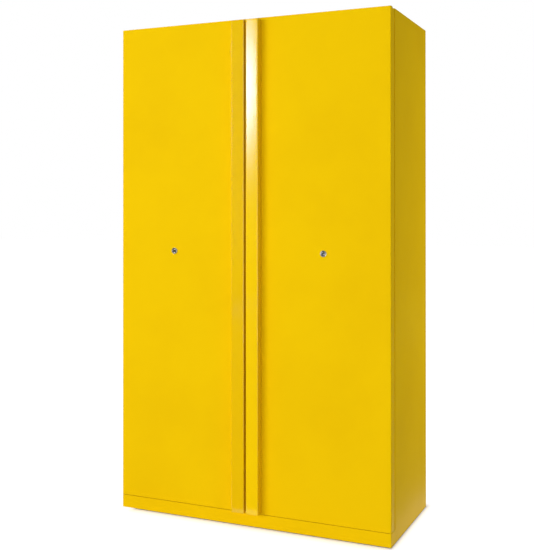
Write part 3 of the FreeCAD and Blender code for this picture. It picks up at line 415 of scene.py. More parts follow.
yellow_coat = painted("yellow_powder_coat", PAINT, PAINT_SHADE, PAINT_EDGE_WEAR_AND_HIGHLIGHT, PAINT_ROUGHNESS, PAINT_SPECULAR,
                      PAINT_TINT, PAINT_PEEL)
dress(yellow_coat, "left_side_panel", "right_side_panel", "top_panel", "base_panel", "rear_panel",
      "hinge_plates")


# Doors: a tray folded from the same sheet, with tight folds at the front, a solid hinge stile and a flat
# back sheet. The outer back corner is an arc about the hinge. Its head is notched for the hinge
# plate, and holes are pressed for the lock, the hinge bush and the closer in the foot.
DOOR_SHEET = 0.0015
FRONT_FOLD = 0.0030
BACK_LEDGE = 0.0001
NOTCH_REACH = 0.014
LOCK_HOLE = 0.010
SHARP_FOLD = 40.0
ARC_STEPS = 13
HOLE_STEPS = 48
BESIDE_ARC = 0.0010


def put(mesh, body, slot_name, material, *stands_for):
    """Makes the object for a mesh, which rides on a body and may stand for some nodes."""
    piece = bpy.data.objects.new(mesh.name, mesh)
    scene.collection.objects.link(piece)
    mesh.materials.append(material)
    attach(piece, body)
    if stands_for:
        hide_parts(*stands_for)


def prism(name, outline, low, high, axis=2):
    """An outline of (n, 2) points drawn along an axis between two levels."""
    rings = [np.insert(outline, axis, level, axis=1) for level in (low, high)]
    return grid_mesh(name, np.stack(rings), closed_columns=True, capped=True)


def round_outline(centre, radius):
    """A circle: centre + radius * (cos u, sin u)."""
    u = np.linspace(0.0, 2.0 * np.pi, HOLE_STEPS, endpoint=False)
    return np.array(centre) + radius * np.stack([np.cos(u), np.sin(u)], axis=-1)


def square_outline(x0, x1, y0, y1):
    """A rectangle between two corners."""
    return np.array([[x0, y0], [x1, y0], [x1, y1], [x0, y1]])


def arc_in_plan(centre, radius, start, end):
    """Points on an arc between two angles in degrees, with one more on the tangent beside each end."""
    u = np.radians(np.linspace(start, end, ARC_STEPS))
    points = np.array(centre) + radius * np.stack([np.cos(u), np.sin(u)], axis=-1)
    ends = np.array([[-np.sin(u[0]), np.cos(u[0])], [-np.sin(u[-1]), np.cos(u[-1])]])
    ends *= math.copysign(BESIDE_ARC, end - start)
    return np.concatenate([[points[0] - ends[0]], points, [points[-1] + ends[1]]])


def cut_away(mesh, cutters):
    """The mesh less the cutters, worked out once, so that no modifier stays."""
    name = mesh.name
    block = bpy.data.objects.new(name, mesh)
    scene.collection.objects.link(block)
    tools = []
    for cutter in cutters:
        tool = bpy.data.objects.new(cutter.name, cutter)
        scene.collection.objects.link(tool)
        tools.append(tool)
        less = block.modifiers.new(cutter.name, "BOOLEAN")
        less.operation = "DIFFERENCE"
        less.solver = "EXACT"
        less.object = tool
    result = bpy.data.meshes.new_from_object(block.evaluated_get(bpy.context.evaluated_depsgraph_get()))
    for spent in (mesh, *cutters):
        bpy.data.meshes.remove(spent)
    result.name = name
    result.polygons.foreach_set("use_smooth", np.full(len(result.polygons), True))
    result.set_sharp_from_angle(angle=math.radians(SHARP_FOLD))
    return result


for side, outward in (("left", -1.0), ("right", 1.0)):
    low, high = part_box(side + "_door_skin")
    bush_low, bush_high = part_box(side + "_hinge_bush")
    closer_low, closer_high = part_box(side + "_closer")
    lock_low, lock_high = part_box(side + "_lock_barrel")
    meeting_x, outer_x = (low.x, high.x) if outward > 0 else (-high.x, -low.x)
    pin_x, pin_y = 0.5 * (bush_low.x + bush_high.x) * outward, 0.5 * (bush_low.y + bush_high.y)
    back_radius = high.y - pin_y
    back_start = math.degrees(math.acos((outer_x - pin_x) / back_radius))
    plan = np.concatenate([
        [[meeting_x, high.y]],
        arc_in_plan((meeting_x + FRONT_FOLD, low.y + FRONT_FOLD), FRONT_FOLD, 180.0, 270.0),
        arc_in_plan((outer_x - FRONT_FOLD, low.y + FRONT_FOLD), FRONT_FOLD, 270.0, 360.0),
        arc_in_plan((pin_x, pin_y), back_radius, back_start, 90.0)[1:]])
    mirror = np.array([outward, 1.0])
    edge_x, front_y, behind_y = meeting_x + DOOR_SHEET, low.y + DOOR_SHEET, high.y + DOOR_SHEET
    stile_x, ledge_y = pin_x - NOTCH_REACH - DOOR_SHEET, high.y - DOOR_SHEET - BACK_LEDGE
    inside = np.array([[edge_x, front_y], [stile_x, front_y], [stile_x, ledge_y], [pin_x, ledge_y],
                       [pin_x, behind_y], [edge_x, behind_y]])
    notch = square_outline(pin_x - NOTCH_REACH, outer_x + DOOR_SHEET, pin_y - NOTCH_REACH, behind_y)
    pivot = np.array([pin_x, pin_y])
    lock_centre = (0.5 * (lock_low.x + lock_high.x), 0.5 * (lock_low.z + lock_high.z))
    tray = prism(side + "_door_tray", plan * mirror, low.z, high.z)
    cutters = (
        prism("tray_inside", inside * mirror, low.z + DOOR_SHEET, high.z - DOOR_SHEET),
        prism("hinge_notch", notch * mirror, bush_high.z, high.z + DOOR_SHEET),
        prism("lock_hole", round_outline(lock_centre, LOCK_HOLE), low.y - DOOR_SHEET, behind_y, axis=1),
        prism("bush_hole", round_outline(pivot * mirror, 0.5 * (bush_high.x - bush_low.x)), bush_low.z,
              bush_high.z + DOOR_SHEET),
        prism("closer_hole", round_outline(pivot * mirror, 0.5 * (closer_high.x - closer_low.x)),
              low.z - DOOR_SHEET, closer_high.z))
    put(cut_away(tray, cutters), side + "_door", "yellow_paint", yellow_coat, side + "_door_skin")

dress(yellow_coat, "left_door_back", "right_door_back")


# Plinth cover: folded from the same sheet, with the doors' tight folds and a lip on top that leaves a
# narrow gap below them. It is open below and behind, and two tabs screw it to the side panels.
PLINTH_RISE = 0.0020
PLINTH_LIP = 0.015
HINGE_ROOM = 0.0115
TAB_X = (0.531, 0.5535)
TAB_Z = (0.008, 0.038)


def plinth_plan(half, front, back, fold):
    """The plinth seen from above: two straight sides and the front, with the two front corners rounded."""
    return np.concatenate([[[-half, back]], arc_in_plan((fold - half, front + fold), fold, 180.0, 270.0),
                           arc_in_plan((half - fold, front + fold), fold, 270.0, 360.0), [[half, back]]])


low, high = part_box("plinth_cover")
top_z = high.z + PLINTH_RISE
cover = prism("plinth_folded_cover", plinth_plan(high.x, low.y, high.y, FRONT_FOLD), low.z, top_z)
hollow = plinth_plan(high.x - DOOR_SHEET, low.y + DOOR_SHEET, high.y + DOOR_SHEET, FRONT_FOLD - DOOR_SHEET)
opening = square_outline(PLINTH_LIP - high.x, high.x - PLINTH_LIP, low.y + PLINTH_LIP, high.y + DOOR_SHEET)
cutters = [prism("plinth_inside", hollow, low.z - DOOR_SHEET, top_z - DOOR_SHEET),
           prism("plinth_opening", opening, low.z, top_z + DOOR_SHEET)]
for side in ("left", "right"):
    bush_low, bush_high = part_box(side + "_hinge_bush")
    pin_x, pin_y = 0.5 * (bush_low.x + bush_high.x), 0.5 * (bush_low.y + bush_high.y)
    room = square_outline(pin_x - HINGE_ROOM, pin_x + HINGE_ROOM, pin_y - HINGE_ROOM, high.y + DOOR_SHEET)
    cutters.append(prism(side + "_hinge_room", room, high.z - 2.0 * DOOR_SHEET, top_z + DOOR_SHEET))
put(cut_away(cover, cutters), "cabinet", "yellow_paint", yellow_coat, "plinth_cover")
for side, outward in (("left", -1.0), ("right", 1.0)):
    tab = square_outline(*sorted(outward * x for x in TAB_X), high.y - DOOR_SHEET, high.y)
    put(prism(side + "_plinth_tab", tab, *TAB_Z), "cabinet", "yellow_paint", yellow_coat)


# Handle strips: closed channels folded from sheet, coated glossier than the doors and screwed on
# from inside the door. Each face falls towards the gap between the strips, its two long edges are
# rounded, and a folded plate closes each end a little inside the rim.
STRIP_FALL = 0.0026
GAP_ROUND = 0.0030
OUTER_ROUND = 0.0040
LOWER_END_DROP = 0.0040
UPPER_END_DROP = 0.0025
STRIP_WALL = 0.0020
STRIP_END_STEP = 0.0012
ROUND_STEPS = 9
BESIDE_ROUND = 0.02
# Painted light: the left strip's colour and tone are darkened as painted shade and the right strip's lightened
# as painted light, for how the key falls on their faces; both strips are one paint.
STRIP_LIT_AND_SHADED_PAINT = {"left": (0.885, 0.556, 0.002), "right": (0.965, 0.634, 0.002)}
STRIP_LIT_AND_SHADED_TONE = {"left": (0.860, 0.532, 0.002), "right": (0.940, 0.606, 0.002)}
STRIP_ROUGHNESS = 0.08
STRIP_SPECULAR = 0.50
STRIP_TINT = (0.3, 0.6, 1.0)
STRIP_PEEL = 0.04


def rounded_corner(corner, before, after, reach):
    """The turn between two edges: corner + reach * before * (1 - sin u) + reach * after * (1 - cos u)."""
    u = np.linspace(0.0, 0.5 * np.pi, ROUND_STEPS)[:, None]
    before, after = np.array(before) - corner, np.array(after) - corner
    before, after = before / np.linalg.norm(before), after / np.linalg.norm(after)
    return corner + reach * (before * (1.0 - np.sin(u)) + after * (1.0 - np.cos(u)))


for side, outward in (("left", -1.0), ("right", 1.0)):
    low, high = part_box(side + "_handle_strip")
    gap_x, outer_x = (low.x, high.x) if outward > 0 else (high.x, low.x)

    def section(inset):
        """The channel's outline in plan, drawn in by an inset, from the door up, across and back.

        A point beside each end of an arc keeps the flats flat in the shading."""
        gap, outer, back = gap_x + outward * inset, outer_x - outward * inset, high.y
        gap_corner = np.array([gap, low.y + STRIP_FALL + inset])
        outer_corner = np.array([outer, low.y + inset])
        first = rounded_corner(gap_corner, (gap, back), outer_corner, GAP_ROUND - inset)
        second = rounded_corner(outer_corner, gap_corner, (outer, back), OUTER_ROUND - inset)
        flat, start, finish = second[0] - first[-1], np.array([gap, back]), np.array([outer, back])
        return np.concatenate([
            [start, first[0] + BESIDE_ROUND * (start - first[0])], first,
            [first[-1] + BESIDE_ROUND * flat, second[0] - BESIDE_ROUND * flat], second,
            [second[-1] + BESIDE_ROUND * (finish - second[-1]), finish]])

    foot, head = low.z - LOWER_END_DROP, high.z - UPPER_END_DROP
    layers = ((STRIP_WALL, foot + STRIP_END_STEP), (STRIP_WALL, foot), (0.0, foot),
              (0.0, head), (STRIP_WALL, head), (STRIP_WALL, head - STRIP_END_STEP))
    rings = [np.pad(section(inset), ((0, 0), (0, 1)), constant_values=z) for inset, z in layers]
    strip = grid_mesh(side + "_rounded_strip", np.stack(rings), closed_columns=True, capped=True,
                      sharp_angle=SHARP_FOLD)
    # Each side gets its own copy of the coat, the shaded one on the left and the lit one on the right.
    strip_coat_lit_or_shaded = painted(side + "_gloss_coat_lit_or_shaded", STRIP_LIT_AND_SHADED_PAINT[side], STRIP_LIT_AND_SHADED_TONE[side], PAINT_EDGE_WEAR_AND_HIGHLIGHT,
                          STRIP_ROUGHNESS, STRIP_SPECULAR, STRIP_TINT, STRIP_PEEL)
    put(strip, side + "_door", "yellow_paint", strip_coat_lit_or_shaded, side + "_handle_strip")


# Metal pieces: zinc-plated steel for rods, gearboxes and brackets, nickel for the locks, brass for the
# bushes and the earthing stud. Each has fine brushing or turning marks and a little staining.
STAIN_SCALE = 38.0
STAIN_FROM, STAIN_TO = 0.3, 0.6
BRUSH_DEPTH, BRUSH_HEIGHT = 0.12, 0.0001
BRUSH_ROUGH_SPREAD = 0.3
METAL_EDGE = 0.0004


def plated(name, colour, stain, roughness, scale, stretch=(1.0, 1.0, 0.04)):
    """A metal surface: noise drawn out along one axis as brushing, and a broad noise as staining."""
    material = bpy.data.materials.new(name)
    material.use_nodes = True
    add = node_graph(material.node_tree)
    link = material.node_tree.links.new
    place = add("ShaderNodeTexCoord")
    drawn = add("ShaderNodeMapping")
    drawn.inputs["Scale"].default_value = stretch
    link(place.outputs["Object"], drawn.inputs["Vector"])
    brush = add("ShaderNodeTexNoise")
    brush.inputs["Scale"].default_value = scale
    brush.inputs["Detail"].default_value = 4.0
    link(drawn.outputs["Vector"], brush.inputs["Vector"])
    cloud = add("ShaderNodeTexNoise")
    cloud.inputs["Scale"].default_value = STAIN_SCALE
    cloud.inputs["Detail"].default_value = 5.0
    link(place.outputs["Object"], cloud.inputs["Vector"])
    tone = add("ShaderNodeMix", data_type="RGBA")
    tone.inputs["A"].default_value = (*stain, 1.0)
    tone.inputs["B"].default_value = (*colour, 1.0)
    blend = add("ShaderNodeMapRange")
    blend.inputs["From Min"].default_value = STAIN_FROM
    blend.inputs["From Max"].default_value = STAIN_TO
    link(cloud.outputs["Fac"], blend.inputs["Value"])
    link(blend.outputs["Result"], tone.inputs["Factor"])
    rough = add("ShaderNodeMapRange")
    rough.inputs["To Min"].default_value = roughness * (1.0 - BRUSH_ROUGH_SPREAD)
    rough.inputs["To Max"].default_value = roughness * (1.0 + BRUSH_ROUGH_SPREAD)
    link(brush.outputs["Fac"], rough.inputs["Value"])
    marks = add("ShaderNodeBump")
    marks.inputs["Strength"].default_value = BRUSH_DEPTH
    marks.inputs["Distance"].default_value = BRUSH_HEIGHT
    link(brush.outputs["Fac"], marks.inputs["Height"])
    rounded = add("ShaderNodeBevel", samples=4)
    rounded.inputs["Radius"].default_value = METAL_EDGE
    link(rounded.outputs[0], marks.inputs["Normal"])
    shader = add("ShaderNodeBsdfPrincipled")
    shader.inputs["Metallic"].default_value = 1.0
    link(tone.outputs["Result"], shader.inputs["Base Color"])
    link(rough.outputs["Result"], shader.inputs["Roughness"])
    link(marks.outputs["Normal"], shader.inputs["Normal"])
    link(shader.outputs[0], add("ShaderNodeOutputMaterial").inputs["Surface"])
    return material


zinc = plated("zinc_plate", (0.66, 0.67, 0.69), (0.52, 0.53, 0.54), 0.34, 900.0)
nickel = plated("nickel_plate", (0.70, 0.69, 0.67), (0.60, 0.59, 0.57), 0.16, 1400.0, (1.0, 0.05, 1.0))
brass = plated("turned_brass", (0.72, 0.54, 0.24), (0.58, 0.42, 0.18), 0.28, 1100.0)
dress(zinc, "rod_keepers", "front_bars", "foot_brackets", "left_rod_guides", "right_rod_guides",
      "shelf_clips", "exhaust_damper", "supply_damper", "left_gearbox", "right_gearbox", "left_top_rod",
      "right_top_rod", "left_bottom_rod", "right_bottom_rod", "left_closer", "right_closer")
dress(nickel, "left_lock_cylinder", "right_lock_cylinder")
dress(brass, "left_hinge_bush", "right_hinge_bush")


# Interior sheet metal: shelves, sump, grid, uprights, duct and spigots, in pale grey powder coat.
# The lighter grey edge colour is likewise partly wear and partly a painted highlight.
GREY, GREY_SHADE, GREY_EDGE_WEAR_AND_HIGHLIGHT = (0.55, 0.56, 0.56), (0.50, 0.51, 0.52), (0.66, 0.67, 0.67)
grey_coat = painted("grey_powder_coat", GREY, GREY_SHADE, GREY_EDGE_WEAR_AND_HIGHLIGHT, 0.42, 0.4, (1.0, 1.0, 1.0), 0.14)
dress(grey_coat, "lower_shelf", "middle_shelf", "upper_shelf", "sump_tray", "sump_grid", "shelf_uprights",
      "rear_duct", "exhaust_plenum", "duct_spigots")


# Boards: the lining is a pressed board with a melamine face, the insulation a mineral board with a
# chalky open surface, cut to size and laid loose between the sheets.
BOARD_CLOUD = 6.0
FIBRE_SCALE, FIBRE_SHARE = 1.7, 0.35
PIT_HEIGHT = 0.0003
BOARD_SPECULAR = 0.35


def board(name, colour, shade, roughness, pit_scale, pit_depth):
    """A board: broad tone, fine pits as bump, and faint pressed fibres."""
    material = bpy.data.materials.new(name)
    material.use_nodes = True
    add = node_graph(material.node_tree)
    link = material.node_tree.links.new
    place = add("ShaderNodeTexCoord")
    cloud = add("ShaderNodeTexNoise")
    cloud.inputs["Scale"].default_value = BOARD_CLOUD
    cloud.inputs["Detail"].default_value = 6.0
    pits = add("ShaderNodeTexVoronoi")
    pits.inputs["Scale"].default_value = pit_scale
    fibre = add("ShaderNodeTexNoise")
    fibre.inputs["Scale"].default_value = pit_scale * FIBRE_SCALE
    for texture in (cloud, pits, fibre):
        link(place.outputs["Object"], texture.inputs["Vector"])
    tone = add("ShaderNodeMix", data_type="RGBA")
    tone.inputs["A"].default_value = (*shade, 1.0)
    tone.inputs["B"].default_value = (*colour, 1.0)
    mottle = add("ShaderNodeMath", operation="MULTIPLY_ADD")
    mottle.inputs[1].default_value = FIBRE_SHARE
    link(fibre.outputs["Fac"], mottle.inputs[0])
    link(cloud.outputs["Fac"], mottle.inputs[2])
    link(mottle.outputs[0], tone.inputs["Factor"])
    dents = add("ShaderNodeBump")
    dents.inputs["Strength"].default_value = pit_depth
    dents.inputs["Distance"].default_value = PIT_HEIGHT
    link(pits.outputs["Distance"], dents.inputs["Height"])
    rough = add("ShaderNodeMapRange")
    rough.inputs["To Min"].default_value = roughness * 0.85
    rough.inputs["To Max"].default_value = roughness * 1.1
    link(fibre.outputs["Fac"], rough.inputs["Value"])
    shader = add("ShaderNodeBsdfPrincipled")
    shader.inputs["Specular IOR Level"].default_value = BOARD_SPECULAR
    link(tone.outputs["Result"], shader.inputs["Base Color"])
    link(rough.outputs["Result"], shader.inputs["Roughness"])
    link(dents.outputs["Normal"], shader.inputs["Normal"])
    link(shader.outputs[0], add("ShaderNodeOutputMaterial").inputs["Surface"])
    return material


lining = board("melamine_lining", (0.74, 0.74, 0.72), (0.66, 0.66, 0.65), 0.38, 420.0, 0.10)
mineral = board("mineral_board", (0.62, 0.59, 0.53), (0.50, 0.47, 0.42), 0.90, 240.0, 0.55)
graphite = board("graphite_strip", (0.060, 0.058, 0.056), (0.035, 0.034, 0.033), 0.80, 520.0, 0.40)
soft_black = board("seal_rubber", (0.030, 0.030, 0.031), (0.018, 0.018, 0.019), 0.55, 700.0, 0.15)
dress(lining, "side_liners", "rear_liner", "ceiling_liner", "floor_liner")
dress(mineral, "insulation_boards", "left_door_core", "right_door_core")
dress(graphite, "intumescent_strips")


# Lock rosettes: turned brass, nickel-plated, with a rolled rim, a dished face and a raised ring round
# the plug. The lock body behind is pressed through the door from the front.
TO_FRONT, TO_BACK = (0.0, -1.0, 0.0), (0.0, 1.0, 0.0)
TO_RIGHT, TO_TOP = (1.0, 0.0, 0.0), (0.0, 0.0, 1.0)
TURN_STEPS = 96
LOCK_LENGTH = 0.054
ROSETTE_PROFILE = (
    (12.50, 0.0), (12.50, -3.2), (12.38, -4.0), (12.05, -4.6), (11.55, -4.92), (11.0, -5.0), (10.4, -4.86),
    (9.9, -4.52), (9.2, -4.28), (8.4, -4.2), (7.7, -4.26), (7.3, -4.5), (6.95, -4.72), (6.5, -4.78),
    (6.2, -4.68), (6.14, -4.4), (6.12, 0.0), (6.12, 53.9), (10.0, 53.9), (10.0, 0.0))


def turned(name, start, along, across, profile, sharp_angle=50.0):
    """A closed profile turned about an axis.

    A point is start + advance * along + radius * (across * cos a + (along x across) * sin a). The profile's
    radii and advances are in millimetres."""
    radius, advance = np.array(profile).T[:, :, None, None] / 1000.0
    along, across = np.array(along), np.array(across)
    angle = np.linspace(0.0, 2.0 * np.pi, TURN_STEPS, endpoint=False)[None, :, None]
    spoke = across * np.cos(angle) + np.cross(along, across) * np.sin(angle)
    points = np.array(start) + advance * along + radius * spoke
    return grid_mesh(name, points, closed_rows=True, closed_columns=True, sharp_angle=sharp_angle)


for side in ("left", "right"):
    low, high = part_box(side + "_lock_barrel")
    centre = ((low.x + high.x) / 2, high.y - LOCK_LENGTH, (low.z + high.z) / 2)
    rosette = turned(side + "_lock_rosette", centre, TO_BACK, TO_RIGHT, ROSETTE_PROFILE)
    put(rosette, side + "_door", "lock_chrome", nickel, side + "_lock_barrel")


# Frame gasket: an extruded rubber ring glued to the carcass front, with a bulb between two thin lips,
# and its four corners mitred.
GASKET_ROUND_STEPS = 14
GASKET_WIDTH = 0.007


def bulb_profile(width, height):
    """Across a strip: a lip, a raised bulb over the middle 60 percent as half an ellipse, and a lip."""
    turn = np.linspace(np.pi, 0.0, GASKET_ROUND_STEPS)
    bulb_across = 0.5 * width + 0.30 * width * np.cos(turn)
    bulb_up = 0.28 * height + 0.72 * height * np.sin(turn)
    across = np.concatenate([[0.0, 0.0, 0.14 * width], bulb_across, [0.86 * width, width, width]])
    up = np.concatenate([[0.0, 0.45 * height, 0.30 * height], bulb_up, [0.30 * height, 0.45 * height, 0.0]])
    return across, up


low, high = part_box("frame_gasket")
across, up = bulb_profile(GASKET_WIDTH, high.y - low.y)
half_x = (high.x - low.x) / 2 - across
mid_z = (high.z + low.z) / 2
half_z = (high.z - low.z) / 2 - across
corner_signs = np.array([(-1.0, -1.0), (-1.0, 1.0), (1.0, 1.0), (1.0, -1.0)])
ring = np.stack([corner_signs[:, :1] * half_x, high.y - up + 0.0 * corner_signs[:, :1],
                 mid_z + corner_signs[:, 1:] * half_z], axis=-1)
gasket_mesh = grid_mesh("gasket_ring", ring, closed_rows=True, closed_columns=True, sharp_angle=35.0)
put(gasket_mesh, "cabinet", "seal_rubber", soft_black, "frame_gasket")


# Meeting seal: an extruded rubber strip on the left door's edge, cut square at both ends, with three
# soft ribs that face the right door.
RIB_STEPS = 37
RIB_COUNT = 3
RIB_ROOT = 0.55

low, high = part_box("meeting_seal")
run = np.linspace(0.0, 1.0, RIB_STEPS)
rib_y = low.y + run * (high.y - low.y)
rib_x = low.x + (high.x - low.x) * (RIB_ROOT + (1.0 - RIB_ROOT) * np.abs(np.sin(RIB_COUNT * np.pi * run)))
outline_x = np.concatenate([[low.x], rib_x, [low.x]])
outline_y = np.concatenate([[low.y], rib_y, [high.y]])
ends = np.array([low.z, high.z])[:, None]
seal_points = np.stack([outline_x + 0.0 * ends, outline_y + 0.0 * ends, ends + 0.0 * outline_x], axis=-1)
seal_mesh = grid_mesh("ribbed_seal", seal_points, closed_columns=True, capped=True, sharp_angle=60.0)
put(seal_mesh, "left_door", "seal_rubber", soft_black, "meeting_seal")


# Rivets and screws: dome rivets hold the rear panel and the duct, and pan-head screws with a six-lobe
# recess hold the linings, uprights, covers, saddles, door backs and spigots. Each head sits a hair
# deep in its sheet, and all are steel, coated or zinc-plated.
HEAD_STEPS = 24
HEAD_SHARP = 48.0
DOME = ((1.0, -0.25), (1.0, 0.25), (0.93, 0.55), (0.75, 0.82), (0.45, 0.97), (0.0, 1.0))
PAN = ((1.0, -0.25), (1.0, 0.35), (0.94, 0.64), (0.78, 0.88), (0.55, 1.0), (0.47, 0.96), (0.40, 0.42),
       (0.0, 0.40))
LOBED_FROM, LOBE_SWELL = 5, 0.14


def heads(name, places, outward, radius, height, profile):
    """Round heads on a flat face.

    A profile of radius and rise is turned about the outward direction, at every place at once. In the rings
    of a pan head's recess the radius swells by 14 percent of cos 6a, which makes the six lobes."""
    outward = np.array(outward)
    across = np.roll(outward, 1)
    third = np.cross(outward, across)
    reach, rise = np.array(profile[:-1]).T[:, :, None, None]
    angle = np.linspace(0.0, 2.0 * np.pi, HEAD_STEPS, endpoint=False)[None, :, None]
    rings = len(profile) - 1
    lobes = np.where(np.arange(rings) >= LOBED_FROM, LOBE_SWELL, 0.0)[:, None, None] * np.cos(6.0 * angle)
    spoke = across * np.cos(angle) + third * np.sin(angle)
    ring = radius * reach * (1.0 + lobes) * spoke + height * rise * outward
    poles = height * np.array([profile[0][1], profile[-1][1]])[:, None] * outward
    one = np.concatenate([ring.reshape(-1, 3), poles])
    k, step = np.meshgrid(np.arange(rings - 1), np.arange(HEAD_STEPS), indexing="ij")
    beside = (step + 1) % HEAD_STEPS
    quads = np.stack([k * HEAD_STEPS + step, k * HEAD_STEPS + beside, (k + 1) * HEAD_STEPS + beside,
                      (k + 1) * HEAD_STEPS + step], axis=-1).reshape(-1, 4)
    step = np.arange(HEAD_STEPS)
    beside = (step + 1) % HEAD_STEPS
    top = (rings - 1) * HEAD_STEPS
    foot_fan = np.stack([beside, step, np.full(HEAD_STEPS, rings * HEAD_STEPS)], axis=-1)
    top_fan = np.stack([top + step, top + beside, np.full(HEAD_STEPS, rings * HEAD_STEPS + 1)], axis=-1)
    fans = np.concatenate([foot_fan, top_fan])
    places = np.array(places)
    shift = (np.arange(len(places)) * len(one))[:, None, None]
    mesh = bpy.data.meshes.new(name)
    mesh.from_pydata((places[:, None] + one).reshape(-1, 3).tolist(), [],
                     (quads + shift).reshape(-1, 4).tolist() + (fans + shift).reshape(-1, 3).tolist())
    mesh.polygons.foreach_set("use_smooth", np.ones(len(mesh.polygons), bool))
    mesh.update()
    mesh.set_sharp_from_angle(angle=math.radians(HEAD_SHARP))
    return mesh


REAR_RIVET = (0.0045, 0.0012, DOME)
REAR_RIVET_INSET, REAR_RIVET_EDGE = 0.028, 0.012
REAR_RIVET_ENDS, REAR_RIVET_REACH = 0.06, 0.42
low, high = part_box("rear_panel")
rows = np.linspace(low.z + REAR_RIVET_ENDS, high.z - REAR_RIVET_ENDS, 12)
columns = np.linspace(-REAR_RIVET_REACH, REAR_RIVET_REACH, 7)
places = [(x, high.y, z) for x in (low.x + REAR_RIVET_INSET, high.x - REAR_RIVET_INSET) for z in rows]
places += [(x, high.y, z) for z in (low.z + REAR_RIVET_EDGE, high.z - REAR_RIVET_EDGE) for x in columns]
put(heads("rear_rivets", places, TO_BACK, *REAR_RIVET), "cabinet", "yellow_paint", yellow_coat)

DUCT_RIVET = (0.0032, 0.0010, DOME)
DUCT_RIVET_INSET, DUCT_RIVET_ENDS = 0.008, 0.05
low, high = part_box("rear_duct")
rows = np.linspace(low.z + DUCT_RIVET_ENDS, high.z - DUCT_RIVET_ENDS, 8)
places = [(x, low.y, z) for x in (low.x + DUCT_RIVET_INSET, high.x - DUCT_RIVET_INSET) for z in rows]
put(heads("duct_rivets", places, TO_FRONT, *DUCT_RIVET), "cabinet", "grey_paint", grey_coat)

LINING_SCREW = (0.0042, 0.0016, PAN)
LINING_INSET, LINING_FOOT, LINING_HEAD = 0.03, 0.09, 0.07
low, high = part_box("rear_liner")
rows = np.linspace(low.z + LINING_FOOT, high.z - LINING_HEAD, 6)
places = [(x, low.y, z) for x in (low.x + LINING_INSET, high.x - LINING_INSET) for z in rows]
put(heads("rear_lining_screws", places, TO_FRONT, *LINING_SCREW), "cabinet", "zinc_steel", zinc)

SIDE_LINING_SCREW = (0.0042, 0.0014, PAN)
SIDE_LINING_FROM_REAR = (0.428, 0.018)
UPRIGHT_SCREW = (0.0034, 0.0012, PAN)
UPRIGHT_IN, UPRIGHT_EDGE, UPRIGHT_PITCH = 0.009, 0.013, 0.084
inner_x = high.x
upright_low, upright_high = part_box("shelf_uprights")
for side, sign in (("left", -1.0), ("right", 1.0)):
    inwards = (-sign, 0.0, 0.0)
    places = [(sign * inner_x, low.y - back, z) for back in SIDE_LINING_FROM_REAR for z in rows]
    screws = heads(side + "_lining_screws", places, inwards, *SIDE_LINING_SCREW)
    put(screws, "cabinet", "zinc_steel", zinc)
    places = [(sign * (upright_high.x - UPRIGHT_IN), y, upright_low.z + UPRIGHT_PITCH * k)
              for y in (upright_low.y + UPRIGHT_EDGE, upright_high.y - UPRIGHT_EDGE) for k in (1, 6, 11, 16)]
    put(heads(side + "_upright_screws", places, inwards, *UPRIGHT_SCREW), "cabinet", "zinc_steel", zinc)

SPIGOT_SCREW = (0.0034, 0.0014, PAN)
SPIGOT_SCREWS, SPIGOT_SCREW_CIRCLE = 6, 0.046
SPIGOT_FLANGE, SPIGOT_FLANGE_SHEET = 0.054, 0.002
low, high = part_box("duct_spigots")
top_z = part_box("top_panel")[1].z
turn = np.linspace(0.0, 2.0 * np.pi, SPIGOT_SCREWS, endpoint=False) + np.pi / SPIGOT_SCREWS
spigot_xs = (low.x + SPIGOT_FLANGE, high.x - SPIGOT_FLANGE)
spigot_y = (low.y + high.y) / 2
places = [(x + SPIGOT_SCREW_CIRCLE * math.cos(a), spigot_y + SPIGOT_SCREW_CIRCLE * math.sin(a),
           top_z + SPIGOT_FLANGE_SHEET) for x in spigot_xs for a in turn]
put(heads("spigot_screws", places, TO_TOP, *SPIGOT_SCREW), "cabinet", "zinc_steel", zinc)

COVER_SCREW, COVER_INSET = (0.0032, 0.0014, PAN), 0.007
SADDLE_SCREW, SADDLE_SHEET, SADDLE_FEET = (0.0030, 0.0012, PAN), 0.003, (-0.0125, 0.0125)
SADDLE_HALF_WIDTH, FIRST_SADDLE, SADDLE_HALF_HEIGHT = 0.017, 0.126, 0.005
BACK_SCREW, BACK_SCREW_X = (0.0034, 0.0010, PAN), (0.024, 0.474)
BACK_SCREW_FOOT, BACK_SCREW_HEAD = 0.10, 0.14
for side, sign in (("left", -1.0), ("right", 1.0)):
    door = side + "_door"
    low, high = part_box(side + "_gearbox")
    places = [(x, high.y, z) for x in (low.x + COVER_INSET, high.x - COVER_INSET)
              for z in (low.z + COVER_INSET, high.z - COVER_INSET)]
    put(heads(side + "_cover_screws", places, TO_BACK, *COVER_SCREW), door, "zinc_steel", zinc)

    lock_x, lock_z = (low.x + high.x) / 2, (low.z + high.z) / 2
    low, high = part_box(side + "_rod_guides")
    rod_offset = sign * ((high.x - low.x) / 2 - SADDLE_HALF_WIDTH)
    upper = np.linspace(lock_z + FIRST_SADDLE, high.z - SADDLE_HALF_HEIGHT, 3)
    lower = np.linspace(lock_z - FIRST_SADDLE, low.z + SADDLE_HALF_HEIGHT, 3)
    places = [(rod_x + foot, low.y + SADDLE_SHEET, z)
              for rod_x, levels in ((lock_x + rod_offset, upper), (lock_x - rod_offset, lower))
              for z in levels for foot in SADDLE_FEET]
    put(heads(side + "_saddle_screws", places, TO_BACK, *SADDLE_SCREW), door, "zinc_steel", zinc)

    low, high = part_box(side + "_door_back")
    rows = np.linspace(low.z + BACK_SCREW_FOOT, high.z - BACK_SCREW_HEAD, 8)
    places = [(sign * x, high.y, z) for x in BACK_SCREW_X for z in rows]
    put(heads(side + "_back_screws", places, TO_BACK, *BACK_SCREW), door, "yellow_paint", yellow_coat)


